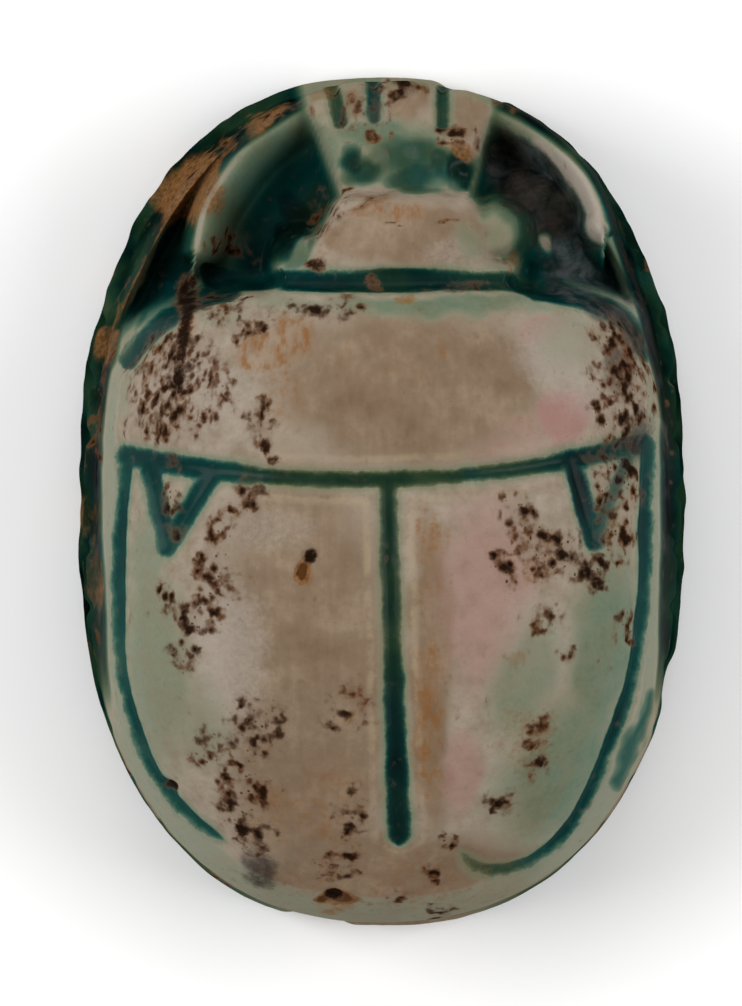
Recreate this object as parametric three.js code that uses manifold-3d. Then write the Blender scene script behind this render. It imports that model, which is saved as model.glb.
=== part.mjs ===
// A scarab amulet: a beetle carved from one piece of soft stone on an oval base, then glazed.
// The head points to +Y, the back is up (+Z), and the flat underside lies on z = 0.
// Sizes are in millimetres. Places on the beetle are shares: x of half the width, y of half
// the length, and heights of the rise from the base to the top of the back, so that the
// carving follows the blank that it is cut from.

import * as THREE from "three";
import { mergeVertices } from "three/addons/utils/BufferGeometryUtils.js";
import Module from "manifold-3d";

// The blank
const LENGTH = 17.5;
const WIDTH = 12.6;
const HEIGHT = 7.8;
const BASE_THICKNESS = 1.3;
const BASE_CHAMFER = 0.12;
const BASE_LEDGE = 0.14;

// The bore for a thread, from the tail to the head, above the base
const BORE_DIAMETER = 1.2;
const BORE_ABOVE_BASE = 0.3;

// Carved lines on the back, each with its width and its depth
const SUTURE_WIDTH = 0.46;
const SUTURE_DEPTH = 0.32;
const THORAX_LINE_WIDTH = 0.42;
const THORAX_LINE_DEPTH = 0.28;
const MARGIN_LINE_WIDTH = 0.4;
const MARGIN_LINE_DEPTH = 0.26;
const SHOULDER_MARK_WIDTH = 0.46;
const SHOULDER_MARK_DEPTH = 0.26;
const SHOULDER_RIM_WIDTH = 0.46;
const SHOULDER_RIM_DEPTH = 0.22;
const NECK_LINE_WIDTH = 0.5;
const NECK_LINE_DEPTH = 0.34;
const HEAD_NOTCH_WIDTH = 0.46;
const HEAD_NOTCH_DEPTH = 0.28;
const HEAD_PIT_DEPTH = 0.26;

// Legs: how wide the slopes of a foreleg are, and how far the legs stand out of the side
const FORELEG_OUTER_SLOPE = 0.42;
const FORELEG_INNER_SLOPE = 1.15;
const SIDE_RIDGE_WIDTH = 0.95;
const LEG_THICKNESS = 0.7;
const LEG_RELIEF = 0.2;
const HATCH_PITCH = 1.05;
const HATCH_WIDTH = 0.34;
const HATCH_DEPTH = 0.12;

// The line cut around the underside
const BORDER_INSET = 0.75;
const BORDER_WIDTH = 0.34;
const BORDER_DEPTH = 0.16;

// How near the facets keep to the form of the beetle
const FACET_TOLERANCE = 0.046;

// Proportions of the blank: the powers of its oval (2 is an ellipse), its dome and the
// corners of the thorax, and how wide the shoulders are
const OUTLINE_POWER = 2.35;
const DOME_POWER = 2.3;
const SHOULDER_POWER = { left: 4, right: 5.5 };
const SHOULDER_HALF_WIDTH = 0.93;
const WAIST_HALF_WIDTH = 1.05;

// How far out the back reaches before it turns down, as shares of the outline
const RIM = { front: 0.985, side: 0.93, tail: 0.985 };

// Where one form gives way to the next: along the side, from 0 at the head to 1 at the tail,
// and the waist to the shoulders, as shares of half the length
const FRONT_TO_SIDE = { left: { from: 0.02, to: 0.16 }, right: { from: 0.22, to: 0.32 } };
const SIDE_TO_TAIL = { from: 0.58, to: 0.72 };
const DOME_TO_TAIL = { from: 0.65, to: 0.95 };
const WAIST_TO_SHOULDER = { from: 0, to: 0.25 };

// Heights, as shares of the rise from the base to the top of the back
const LIFT = {
  sideEdge: 0.29,
  tailEdge: 0.29,
  thoraxFall: 0.15,
  hollow: 0.27,
  filledHollow: 0.36,
  frontRim: 0.11,
  neck: 0.72,
  crownBack: 0.76,
  crownFront: 0.66,
  eye: 0.64,
  clypeusBack: 0.53,
  clypeusFront: 0.34,
  forelegTip: 0.33,
  forelegKnee: 0.5,
  sideRidge: 0.26,
};

// How sharply the head falls away to its sides, and how soft the edges of its plates and the
// feet of its legs are, in millimetres
const HEAD_CENTRE_X = 0.06;
const CROWN_FALL = 0.8;
const CLYPEUS_FALL = 0.9;
const PLATE_SOFTNESS = 0.18;
const LEG_BLEND = 0.15;

// How flat the tops of rounded forms are, as shares of their radius or width, and where the
// thorax ends and the hollows of the head deepen, as shares of their outlines
const EYE_TOP = 0.45;
const CREST_TOP = 0.1;
const CHIP_FLOOR = 0.2;
const DEPOSIT_TOP = 0.4;
const BODY_END = { from: 0.95, to: 1.07 };
const HOLLOW_END = { from: 0.75, to: 1 };

// Places of the carving, as shares of half the width and half the length. A plate is the
// part of the head between a back and a front line and two slanting sides, which are given
// as their places at the back and at the front.
const NECK_Y = 0.505;
const NECK = { back: 0.4, front: 0.56, left: [-0.36, -0.36], right: [0.44, 0.44] };
const CROWN = { back: 0.53, front: 0.715, left: [-0.27, -0.15], right: [0.36, 0.3] };
const CLYPEUS = { back: 0.69, front: 1.05, left: [-0.13, -0.33], right: [0.28, 0.42] };
const EYES = [
  { x: -0.27, y: 0.575, radius: 0.68 },
  { x: 0.37, y: 0.63, radius: 0.85 },
];
const HEAD_PITS = [
  { x: -0.04, y: 0.782, radius: 0.55 },
  { x: 0.13, y: 0.79, radius: 0.62 },
  { x: 0.26, y: 0.76, radius: 0.35 },
];
const HEAD_NOTCHES = [
  [[-0.18, 1.02], [-0.143, 0.894]],
  [[-0.034, 1.03], [-0.027, 0.9]],
  [[0.2, 1.01], [0.2, 0.885]],
];
const NECK_LINE = [[-0.37, 0.52], [-0.1, 0.515], [0.2, 0.518], [0.4, 0.512]];
const DEPOSIT = { x: 0.53, y: 0.65, radius: 1.5 };
const FORELEG_KNEE_AT = 0.7;
const FORELEG_CREST = {
  left: [[-0.31, 0.905], [-0.43, 0.84], [-0.515, 0.765], [-0.58, 0.685], [-0.61, 0.59]],
  right: [[0.39, 0.925], [0.49, 0.885], [0.585, 0.83], [0.665, 0.765], [0.712, 0.69], [0.718, 0.645]],
};
const SIDE_RIDGE = [[0.5, 0.84], [0.66, 0.7], [0.78, 0.55], [0.865, 0.41], [0.915, 0.27]];
const MARGIN_LINE = {
  left: [
    [-0.843, 0.1], [-0.855, -0.06], [-0.85, -0.22], [-0.832, -0.38], [-0.79, -0.52], [-0.735, -0.63],
    [-0.64, -0.72], [-0.54, -0.775], [-0.45, -0.812],
  ],
  right: [
    [0.885, 0.133], [0.897, 0], [0.892, -0.14], [0.868, -0.28], [0.83, -0.4], [0.782, -0.505],
    [0.665, -0.703], [0.575, -0.793], [0.48, -0.845], [0.385, -0.863], [0.3, -0.853], [0.252, -0.814],
    [0.238, -0.762],
  ],
};
const THORAX_LINE = { middle: 0.05, bow: 0.1, slant: 0.015, end: 0.88 };
const SUTURE = { middle: 0.02, slant: 0.045, start: 0.05, end: -0.825 };
const SHOULDER_MARK = {
  left: [[-0.765, 0.1], [-0.7, -0.105], [-0.55, 0.07]],
  right: [[0.615, 0.1], [0.69, -0.09], [0.805, 0.1]],
};
const SHOULDER_RIM = {
  left: [[-0.62, 0.475], [-0.71, 0.439], [-0.768, 0.38], [-0.8, 0.31]],
  right: [[0.58, 0.463], [0.71, 0.432], [0.8, 0.38], [0.845, 0.3]],
};

// Chips out of the edge of the base
const EDGE_CHIPS = [
  { x: 0.29, y: 0.95, radius: 0.9, depth: 0.28 },
  { x: -0.21, y: -0.98, radius: 0.8, depth: 0.2 },
  { x: 0.93, y: -0.42, radius: 0.7, depth: 0.12 },
];

// Legs on the sides: runs of (along, up), where along goes from 0 at the head to 1 at the
// tail, and up from 0 at the base to 1 at the edge of the back; then the hatched stretch
const SIDE_LEGS = [
  [[0.33, 0.2], [0.44, 0.82], [0.5, 0.7], [0.63, 0.2]],
  [[0.54, 0.85], [0.68, 0.78], [0.8, 0.45], [0.93, 0.25]],
];
const HATCHED = { from: 0.36, to: 0.78, low: 0.12, high: 0.88 };

// The sheet of points: cells along one side (a power of two), the share of it that covers
// the back, how far the side goes on down into the base, and how it bows on its way there.
// Its squares swell to the oval, and its points crowd towards the edge.
const SHEET_CELLS = 256;
const BACK_RING = 0.75;
const FOOT_SINK = BASE_THICKNESS / 3;
const SIDE_BOW = 0.8;
const SHEET_SQUARENESS = 8;
const EDGE_CROWDING = 0.6;
const BASE_SIDES = 64;
const BORE_SIDES = 24;

// Tools: how flat a cutter's point and a leg's crown are, as shares of their width, the steps
// along a curve, a line, a leg, a shoulder mark and a notch, the share of the side above the
// base, and the step that finds a slope
const CUTTER_FLOOR = 0.4;
const LEG_CROWN = 0.6;
const CURVE_STEPS = 2;
const LINE_STEPS = 12;
const LEG_STEPS = 3;
const MARK_STEPS = 3;
const NOTCH_STEPS = 2;
const SHOWN_SIDE = 0.8;
const PROBE = 0.02;

const halfWidth = WIDTH / 2;
const halfLength = LENGTH / 2;
const rise = HEIGHT - BASE_THICKNESS;
const boreHeight = BASE_THICKNESS + BORE_ABOVE_BASE + BORE_DIAMETER / 2;

const clamp = THREE.MathUtils.clamp;
const mix = THREE.MathUtils.lerp;
const smooth = (from, to, value) => {
  const t = clamp((value - from) / (to - from), 0, 1);
  return t * t * (3 - 2 * t);
};
const highest = (a, b, blend) => {
  const h = clamp(0.5 + (a - b) / (2 * blend), 0, 1);
  return mix(b, a, h) + blend * h * (1 - h);
};
const lift = (share) => BASE_THICKNESS + rise * share;
const apart = (x, y, place) => {
  const dx = (x - place.x) * halfWidth;
  const dy = (y - place.y) * halfLength;
  return Math.sqrt(dx * dx + dy * dy);
};

// 1 on the outline of the blank, less inside it
const outlineRadius = (x, y) =>
  (Math.abs(x) ** OUTLINE_POWER + Math.abs(y) ** OUTLINE_POWER) ** (1 / OUTLINE_POWER);

// From 0 at the head, round either side, to 1 at the tail
const alongSide = (x, y) => Math.atan2(Math.abs(x), y) / Math.PI;

const rimShare = (x, y) => {
  const along = alongSide(x, y);
  const turn = x < 0 ? FRONT_TO_SIDE.left : FRONT_TO_SIDE.right;
  const front = mix(RIM.front, RIM.side, smooth(turn.from, turn.to, along));
  return mix(front, RIM.tail, smooth(SIDE_TO_TAIL.from, SIDE_TO_TAIL.to, along));
};

// A point inside the outline, for a place (x, y) on it
const outlinePoint = (x, y, inset, z) => {
  const point = new THREE.Vector3(x * halfWidth, y * halfLength, 0);
  return point.multiplyScalar(1 - inset / point.length()).setZ(z);
};

// How far the edge of the base is chipped away at a place on the outline
const chipAt = (x, y) => {
  let depth = 0;
  for (const chip of EDGE_CHIPS) {
    depth += chip.depth * (1 - smooth(CHIP_FLOOR, 1, apart(x, y, chip) / chip.radius));
  }
  return depth;
};

// The line between thorax and wing cases, and the seam between the wing cases
const thoraxLineY = (x) => THORAX_LINE.middle + THORAX_LINE.bow * x * x + THORAX_LINE.slant * x;
const sutureX = (y) => SUTURE.middle - SUTURE.slant * Math.min(y, 0);

// Points in millimetres on a smooth curve through a few places
const curveOf = (places) => {
  const corners = places.map(([x, y]) => new THREE.Vector2(x * halfWidth, y * halfLength));
  return new THREE.SplineCurve(corners).getPoints((places.length - 1) * CURVE_STEPS);
};

const forelegs = [
  { crest: curveOf(FORELEG_CREST.left), inner: 1 },
  { crest: curveOf(FORELEG_CREST.right), inner: -1 },
];
const sideRidge = curveOf(SIDE_RIDGE);

// Distance from a point to a run of points, how far along the run, and on which side
const nearestOn = (points, x, y) => {
  const best = { distance: Infinity, at: 0, side: 1 };
  for (let i = 0; i < points.length - 1; i++) {
    const a = points[i];
    const dx = points[i + 1].x - a.x;
    const dy = points[i + 1].y - a.y;
    const t = clamp(((x - a.x) * dx + (y - a.y) * dy) / (dx * dx + dy * dy), 0, 1);
    const px = x - a.x - t * dx;
    const py = y - a.y - t * dy;
    const distance = Math.sqrt(px * px + py * py);
    if (distance < best.distance) {
      best.distance = distance;
      best.at = (i + t) / (points.length - 1);
      best.side = dx * py >= dy * px ? 1 : -1;
    }
  }
  return best;
};

// The dome that the thorax and the wing cases are cut from; it falls towards the neck
const domeHeight = (x, y) => {
  const out = Math.min(1, outlineRadius(x, y) / rimShare(x, y));
  const atTail = smooth(DOME_TO_TAIL.from, DOME_TO_TAIL.to, alongSide(x, y));
  const edge = mix(LIFT.sideEdge, LIFT.tailEdge, atTail);
  const fall = LIFT.thoraxFall * (Math.max(y, 0) / NECK_Y) ** 2;
  return lift(edge + (1 - edge - fall) * Math.sqrt(1 - out ** DOME_POWER));
};

// 1 on the thorax and wing cases, 0 in front of the neck and beside the shoulders
const bodyMask = (x, y) => {
  const atShoulder = smooth(WAIST_TO_SHOULDER.from, WAIST_TO_SHOULDER.to, y);
  const reach = mix(WAIST_HALF_WIDTH, SHOULDER_HALF_WIDTH, atShoulder);
  const power = x < 0 ? SHOULDER_POWER.left : SHOULDER_POWER.right;
  const out = ((Math.abs(x) / reach) ** power + (Math.max(y, 0) / NECK_Y) ** power) ** (1 / power);
  return 1 - smooth(BODY_END.from, BODY_END.to, out);
};

// 1 on a plate of the head, 0 off it, with soft edges
const plateMask = (plate, x, y) => {
  const t = (y - plate.back) / (plate.front - plate.back);
  const left = mix(...plate.left, t);
  const right = mix(...plate.right, t);
  const inX = Math.min(x - left, right - x) * halfWidth;
  const inY = Math.min(y - plate.back, plate.front - y) * halfLength;
  const rise = (inside) => smooth(-PLATE_SOFTNESS, PLATE_SOFTNESS, inside);
  return rise(inX) * rise(inY);
};

// A plate falls from its back to its front, and away from the middle of the head
const plateHeight = (plate, back, front, fall, x, y) => {
  const t = clamp((y - plate.back) / (plate.front - plate.back), 0, 1);
  return lift(mix(back, front, t) - fall * (x - HEAD_CENTRE_X) ** 2);
};

// A foreleg: a crest, steep towards the rim and long towards the head
const forelegHeight = (leg, x, y) => {
  const near = nearestOn(leg.crest, x * halfWidth, y * halfLength);
  const slope = near.side === leg.inner ? FORELEG_INNER_SLOPE : FORELEG_OUTER_SLOPE;
  const crest = mix(LIFT.forelegTip, LIFT.forelegKnee, smooth(0, FORELEG_KNEE_AT, near.at));
  return lift(mix(LIFT.frontRim, crest, 1 - smooth(CREST_TOP, 1, near.distance / slope)));
};

const sideRidgeHeight = (x, y) => {
  const near = nearestOn(sideRidge, Math.abs(x) * halfWidth, y * halfLength);
  return lift(mix(0, LIFT.sideRidge, 1 - smooth(0, 1, near.distance / (SIDE_RIDGE_WIDTH / 2))));
};

// The head with its forelegs, up to the thorax
const headHeight = (x, y) => {
  const out = outlineRadius(x, y) / rimShare(x, y);
  let z = lift(mix(LIFT.hollow, LIFT.frontRim, smooth(HOLLOW_END.from, HOLLOW_END.to, out)));
  const filled = 1 - smooth(DEPOSIT_TOP, 1, apart(x, y, DEPOSIT) / DEPOSIT.radius);
  z = mix(z, lift(LIFT.filledHollow), filled);
  z = highest(z, sideRidgeHeight(x, y), LEG_BLEND);
  for (const leg of forelegs) z = highest(z, forelegHeight(leg, x, y), LEG_BLEND);
  const raise = (height, mask) => {
    z = mix(z, Math.max(z, height), mask);
  };
  const clypeus = plateHeight(CLYPEUS, LIFT.clypeusBack, LIFT.clypeusFront, CLYPEUS_FALL, x, y);
  const crown = plateHeight(CROWN, LIFT.crownBack, LIFT.crownFront, CROWN_FALL, x, y);
  raise(clypeus, plateMask(CLYPEUS, x, y));
  for (const eye of EYES) raise(lift(LIFT.eye), 1 - smooth(EYE_TOP, 1, apart(x, y, eye) / eye.radius));
  raise(lift(LIFT.neck), plateMask(NECK, x, y));
  raise(crown, plateMask(CROWN, x, y));
  for (const pit of HEAD_PITS) z -= HEAD_PIT_DEPTH * (1 - smooth(0, 1, apart(x, y, pit) / pit.radius));
  return z;
};

// The back before its lines are cut
const backHeight = (x, y) => {
  const body = bodyMask(x, y);
  if (body === 1) return domeHeight(x, y);
  return mix(headHeight(x, y), domeHeight(x, y), body);
};

// Where a place (u, v) of a square sheet lies on the beetle. The middle of the sheet covers
// the back and its rim the side: x and y are shares of the outline, and down goes from 0 at
// the edge of the back to 1 at the foot.
const placeOf = (u, v) => {
  const ring = Math.max(Math.abs(u), Math.abs(v));
  const onBack = Math.min(1, ring / BACK_RING);
  const reach = mix(onBack, Math.sin((Math.PI / 2) * onBack), EDGE_CROWDING);
  const power = OUTLINE_POWER + SHEET_SQUARENESS * (1 - onBack) ** 2;
  const length = (Math.abs(u) ** power + Math.abs(v) ** power) ** (1 / power);
  const scale = ring > 0 ? reach / length : 0;
  return { x: u * scale, y: v * scale, down: Math.max(0, (ring - BACK_RING) / (1 - BACK_RING)) };
};

// The point of the beetle for such a place
const pointOf = ({ x, y, down }) => {
  const rim = rimShare(x, y);
  const z = backHeight(x * rim, y * rim);
  const edge = new THREE.Vector3(x * rim * halfWidth, y * rim * halfLength, z);
  if (down === 0) return edge;
  const foot = outlinePoint(x, y, BASE_LEDGE + chipAt(x, y), BASE_THICKNESS - FOOT_SINK);
  const outwards = Math.sign(down) * Math.abs(down) ** SIDE_BOW;
  return edge.clone().lerp(foot, outwards).setZ(mix(z, foot.z, down));
};

const ROW = SHEET_CELLS + 1;
const LAST = ROW * ROW - 1;

// The outward direction at each point of a sheet, from its neighbours
const normalsOf = (points) =>
  points.map((_, k) => {
    const i = k % ROW;
    const j = Math.floor(k / ROW);
    const across = points[k + (i < SHEET_CELLS ? 1 : 0)].clone().sub(points[k - (i > 0 ? 1 : 0)]);
    const along = points[k + (j < SHEET_CELLS ? ROW : 0)].clone().sub(points[k - (j > 0 ? ROW : 0)]);
    return across.cross(along).normalize();
  });

// The beetle as a sheet of points
const beetleSheet = () =>
  Array.from({ length: ROW * ROW }, (_, k) => {
    const u = (2 * (k % ROW)) / SHEET_CELLS - 1;
    const v = (2 * Math.floor(k / ROW)) / SHEET_CELLS - 1;
    return pointOf(placeOf(u, v));
  });

// Thins a sheet to the right-angled triangles that stay within a tolerance of it. A triangle
// is named by the ends a and b of its long side and its square corner c. It is halved from c
// to the middle of the long side, and its miss there counts the misses of its halves too, so
// that neighbours are halved together.
const thinned = (points, tolerance) => {
  const halves = ([a, b, c]) => [[c, a, (a + b) / 2], [b, c, (a + b) / 2]];
  const whole = [[0, LAST, SHEET_CELLS], [LAST, 0, LAST - SHEET_CELLS]];
  const levels = [whole];
  while (levels.length < 2 * Math.log2(SHEET_CELLS)) levels.push(levels.at(-1).flatMap(halves));

  const outward = normalsOf(points);
  const miss = new Float32Array(points.length);
  levels.toReversed().forEach((triangles, coarseness) => {
    for (const [a, b, c] of triangles) {
      const middle = (a + b) / 2;
      const bow = points[a].clone().add(points[b]).multiplyScalar(0.5).sub(points[middle]);
      const below = coarseness > 0 ? Math.max(miss[(a + c) / 2], miss[(b + c) / 2]) : 0;
      miss[middle] = Math.max(miss[middle], Math.abs(bow.dot(outward[middle])), below);
    }
  });

  const keep = (triangle, depth) => {
    const [a, b, c] = triangle;
    const fine = depth === levels.length || miss[(a + b) / 2] <= tolerance;
    return fine ? [[a, c, b]] : halves(triangle).flatMap((half) => keep(half, depth + 1));
  };
  return whole.flatMap((triangle) => keep(triangle, 0)).flat();
};

// Closes a thinned sheet below with a fan from the middle of its foot
const closedBelow = (points, index) => {
  const used = new Set(index);
  const steps = Array.from({ length: SHEET_CELLS }, (_, i) => i);
  const round = [
    ...steps,
    ...steps.map((i) => SHEET_CELLS + i * ROW),
    ...steps.map((i) => LAST - i),
    ...steps.map((i) => (SHEET_CELLS - i) * ROW),
  ].filter((k) => used.has(k));
  const fan = round.flatMap((k, i) => [round[(i + 1) % round.length], k, points.length]);
  const middle = new THREE.Vector3(0, 0, BASE_THICKNESS - FOOT_SINK);
  return geometryFrom([...points, middle], [...index, ...fan]);
};

const geometryFrom = (points, index) => new THREE.BufferGeometry().setFromPoints(points).setIndex(index);

// Joins rings of points in turn. Each ring turns anticlockwise about the way the rings run.
// A looped skin joins its last ring to its first, and otherwise a fan closes each end.
const skin = (rings, looped = false) => {
  const count = rings[0].length;
  const points = rings.flat();
  const index = [];
  const last = (rings.length - 1) * count;
  rings.forEach((_, level) => {
    if (level === rings.length - 1 && !looped) return;
    const low = level * count;
    const high = ((level + 1) % rings.length) * count;
    for (let i = 0; i < count; i++) {
      const next = (i + 1) % count;
      index.push(low + i, low + next, high + next, low + i, high + next, high + i);
    }
  });
  if (looped) return geometryFrom(points, index);
  const middle = (ring) => ring.reduce((sum, p) => sum.add(p), new THREE.Vector3()).divideScalar(count);
  const start = points.push(middle(rings[0]), middle(rings.at(-1))) - 2;
  for (let i = 0; i < count; i++) {
    const next = (i + 1) % count;
    index.push(next, i, start, last + i, last + next, start + 1);
  }
  return geometryFrom(points, index);
};

// One ring of points around the base, anticlockwise from +X
const ringOf = (insetAt, z) =>
  Array.from({ length: BASE_SIDES }, (_, i) => {
    const turn = (2 * Math.PI * i) / BASE_SIDES;
    const scale = 1 / outlineRadius(Math.cos(turn), Math.sin(turn));
    const [x, y] = [Math.cos(turn) * scale, Math.sin(turn) * scale];
    return outlinePoint(x, y, insetAt(x, y), z);
  });

// The oval base: a plate with its edges taken off
const basePlate = () => {
  const chamfered = (x, y) => chipAt(x, y) + BASE_CHAMFER;
  return skin([
    ringOf(chamfered, 0),
    ringOf(chipAt, BASE_CHAMFER),
    ringOf(chipAt, BASE_THICKNESS - BASE_CHAMFER),
    ringOf(chamfered, BASE_THICKNESS),
  ]);
};

// The tool that cuts the border line of the underside, a ring of three-cornered section
const borderTool = () => {
  const outer = ringOf(() => BORDER_INSET, -BORDER_DEPTH);
  const ridge = ringOf(() => BORDER_INSET + BORDER_WIDTH / 2, BORDER_DEPTH);
  const inner = ringOf(() => BORDER_INSET + BORDER_WIDTH, -BORDER_DEPTH);
  return skin([outer, ridge, inner], true);
};

// A bar of one section along a path of points that each know which way is out of the stone.
// The section is a run of [across, out] pairs, anticlockwise about the path.
const barAlong = (path, section) =>
  skin(
    path.map(({ point, out }, i) => {
      const ahead = path[Math.min(i + 1, path.length - 1)].point.clone();
      ahead.sub(path[Math.max(i - 1, 0)].point);
      const across = out.clone().cross(ahead).normalize();
      return section.map(([a, o]) => point.clone().addScaledVector(across, a).addScaledVector(out, o));
    }),
  );

// The section of a cutting tool: wider above the surface, narrow at its depth
const cutterSection = (width, depth) => {
  const floor = (width / 2) * CUTTER_FLOOR;
  const top = width - floor;
  return [[-floor, -depth], [floor, -depth], [top, depth], [-top, depth]];
};

// The section of a leg that stands out of the side
const legSection = () => {
  const foot = LEG_THICKNESS / 2;
  const crown = foot * LEG_CROWN;
  return [[-foot, -LEG_RELIEF], [foot, -LEG_RELIEF], [crown, LEG_RELIEF], [-crown, LEG_RELIEF]];
};

// A point of the back, in millimetres, with the way out of it
const onBack = ({ x, y }) => {
  const height = (px, py) => backHeight(px / halfWidth, py / halfLength);
  const slopeX = (height(x + PROBE, y) - height(x - PROBE, y)) / (2 * PROBE);
  const slopeY = (height(x, y + PROBE) - height(x, y - PROBE)) / (2 * PROBE);
  return {
    point: new THREE.Vector3(x, y, height(x, y)),
    out: new THREE.Vector3(-slopeX, -slopeY, 1).normalize(),
  };
};

// A point of the side for shares along and up, with the way out of it
const onSide = (hand, along, up) => {
  const at = (a, u) => {
    const [dx, dy] = [Math.sin(Math.PI * a) * hand, Math.cos(Math.PI * a)];
    const scale = 1 / outlineRadius(dx, dy);
    return pointOf({ x: dx * scale, y: dy * scale, down: (1 - u) * SHOWN_SIDE });
  };
  const forward = at(along + PROBE, up).sub(at(along - PROBE, up));
  const upward = at(along, up + PROBE).sub(at(along, up - PROBE));
  return { point: at(along, up), out: upward.cross(forward).multiplyScalar(hand).normalize() };
};

// Points between the ends of a straight run of places
const stepsBetween = (from, to, count) =>
  Array.from({ length: count + 1 }, (_, i) => from.map((start, axis) => mix(start, to[axis], i / count)));

// Everything that is cut into the back with a pointed tool
const lineTools = () => {
  const tools = [];
  const toMillimetres = ([x, y]) => ({ x: x * halfWidth, y: y * halfLength });
  const cut = (points, width, depth) => {
    tools.push(barAlong(points.map(onBack), cutterSection(width, depth)));
  };
  const cutCurve = (places, width, depth) => cut(curveOf(places), width, depth);
  const cutStroke = (from, to, count, width, depth) =>
    cut(stepsBetween(from, to, count).map(toMillimetres), width, depth);

  const seam = [SUTURE.start, SUTURE.end].map((y) => [sutureX(y), y]);
  cutStroke(...seam, LINE_STEPS, SUTURE_WIDTH, SUTURE_DEPTH);
  const thoraxLine = stepsBetween([-THORAX_LINE.end, 0], [THORAX_LINE.end, 0], 2 * LINE_STEPS);
  cut(thoraxLine.map(([x]) => toMillimetres([x, thoraxLineY(x)])), THORAX_LINE_WIDTH, THORAX_LINE_DEPTH);
  cutCurve(NECK_LINE, NECK_LINE_WIDTH, NECK_LINE_DEPTH);
  for (const hand of ["left", "right"]) {
    cutCurve(MARGIN_LINE[hand], MARGIN_LINE_WIDTH, MARGIN_LINE_DEPTH);
    cutCurve(SHOULDER_RIM[hand], SHOULDER_RIM_WIDTH, SHOULDER_RIM_DEPTH);
    const [outer, point, inner] = SHOULDER_MARK[hand];
    cutStroke(outer, point, MARK_STEPS, SHOULDER_MARK_WIDTH, SHOULDER_MARK_DEPTH);
    cutStroke(point, inner, MARK_STEPS, SHOULDER_MARK_WIDTH, SHOULDER_MARK_DEPTH);
  }
  for (const [from, to] of HEAD_NOTCHES) {
    cutStroke(from, to, NOTCH_STEPS, HEAD_NOTCH_WIDTH, HEAD_NOTCH_DEPTH);
  }
  return tools;
};

// The legs along both sides, and the strokes that are cut across them
const sideLegs = () =>
  [-1, 1].flatMap((hand) =>
    SIDE_LEGS.flatMap((run) =>
      run.slice(1).map((to, i) => {
        const steps = stepsBetween(run[i], to, LEG_STEPS);
        const path = steps.map(([along, up]) => onSide(hand, along, up));
        return barAlong(hand > 0 ? path : path.reverse(), legSection());
      }),
    ),
  );

const hatchTools = () => {
  const halfRound = (Math.PI * (halfWidth + halfLength)) / 2;
  const count = Math.floor(((HATCHED.to - HATCHED.from) * halfRound) / HATCH_PITCH);
  const raised = ({ point, out }) => ({ point: point.addScaledVector(out, LEG_RELIEF), out });
  return [-1, 1].flatMap((hand) =>
    Array.from({ length: count + 1 }, (_, i) => {
      const along = HATCHED.from + (i * HATCH_PITCH) / halfRound;
      const steps = stepsBetween([along, HATCHED.low], [along, HATCHED.high], 1);
      const path = steps.map(([a, up]) => raised(onSide(hand, a, up)));
      return barAlong(path, cutterSection(HATCH_WIDTH, HATCH_DEPTH));
    }),
  );
};

// A round rod along the beetle, longer than the blank
const boreRod = () => {
  const radius = BORE_DIAMETER / 2;
  const rod = new THREE.CylinderGeometry(radius, radius, LENGTH + WIDTH, BORE_SIDES);
  return rod.translate(sutureX(0) * halfWidth, 0, boreHeight);
};

const wasm = await Module();
wasm.setup();

const solidOf = (geometry) => {
  const plain = geometry.clone();
  plain.deleteAttribute("normal");
  plain.deleteAttribute("uv");
  const merged = mergeVertices(plain);
  const vertProperties = new Float32Array(merged.attributes.position.array);
  const triVerts = new Uint32Array(merged.index.array);
  return new wasm.Manifold(new wasm.Mesh({ numProp: 3, vertProperties, triVerts }));
};

const geometryOf = (solid) => {
  const mesh = solid.getMesh();
  const geometry = new THREE.BufferGeometry();
  geometry.setAttribute("position", new THREE.BufferAttribute(mesh.vertProperties, 3));
  geometry.setIndex(new THREE.BufferAttribute(mesh.triVerts, 1));
  geometry.computeVertexNormals();
  return geometry;
};

const sheet = beetleSheet();
const beetle = closedBelow(sheet, thinned(sheet, FACET_TOLERANCE));
const all = (parts) => wasm.Manifold.union(parts.map(solidOf));
const uncut = all([beetle, basePlate(), ...sideLegs()]);
const carved = uncut.subtract(all([...lineTools(), ...hatchTools(), borderTool(), boreRod()]));

const glazedStone = new THREE.MeshStandardMaterial({ color: 0x9a8a70, roughness: 0.4, metalness: 0 });
const scarab = new THREE.Mesh(geometryOf(carved), glazedStone);
scarab.name = "scarab";

const amulet = new THREE.Group();
amulet.add(scarab);
export default amulet;
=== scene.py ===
import functools
import itertools
import math

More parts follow.
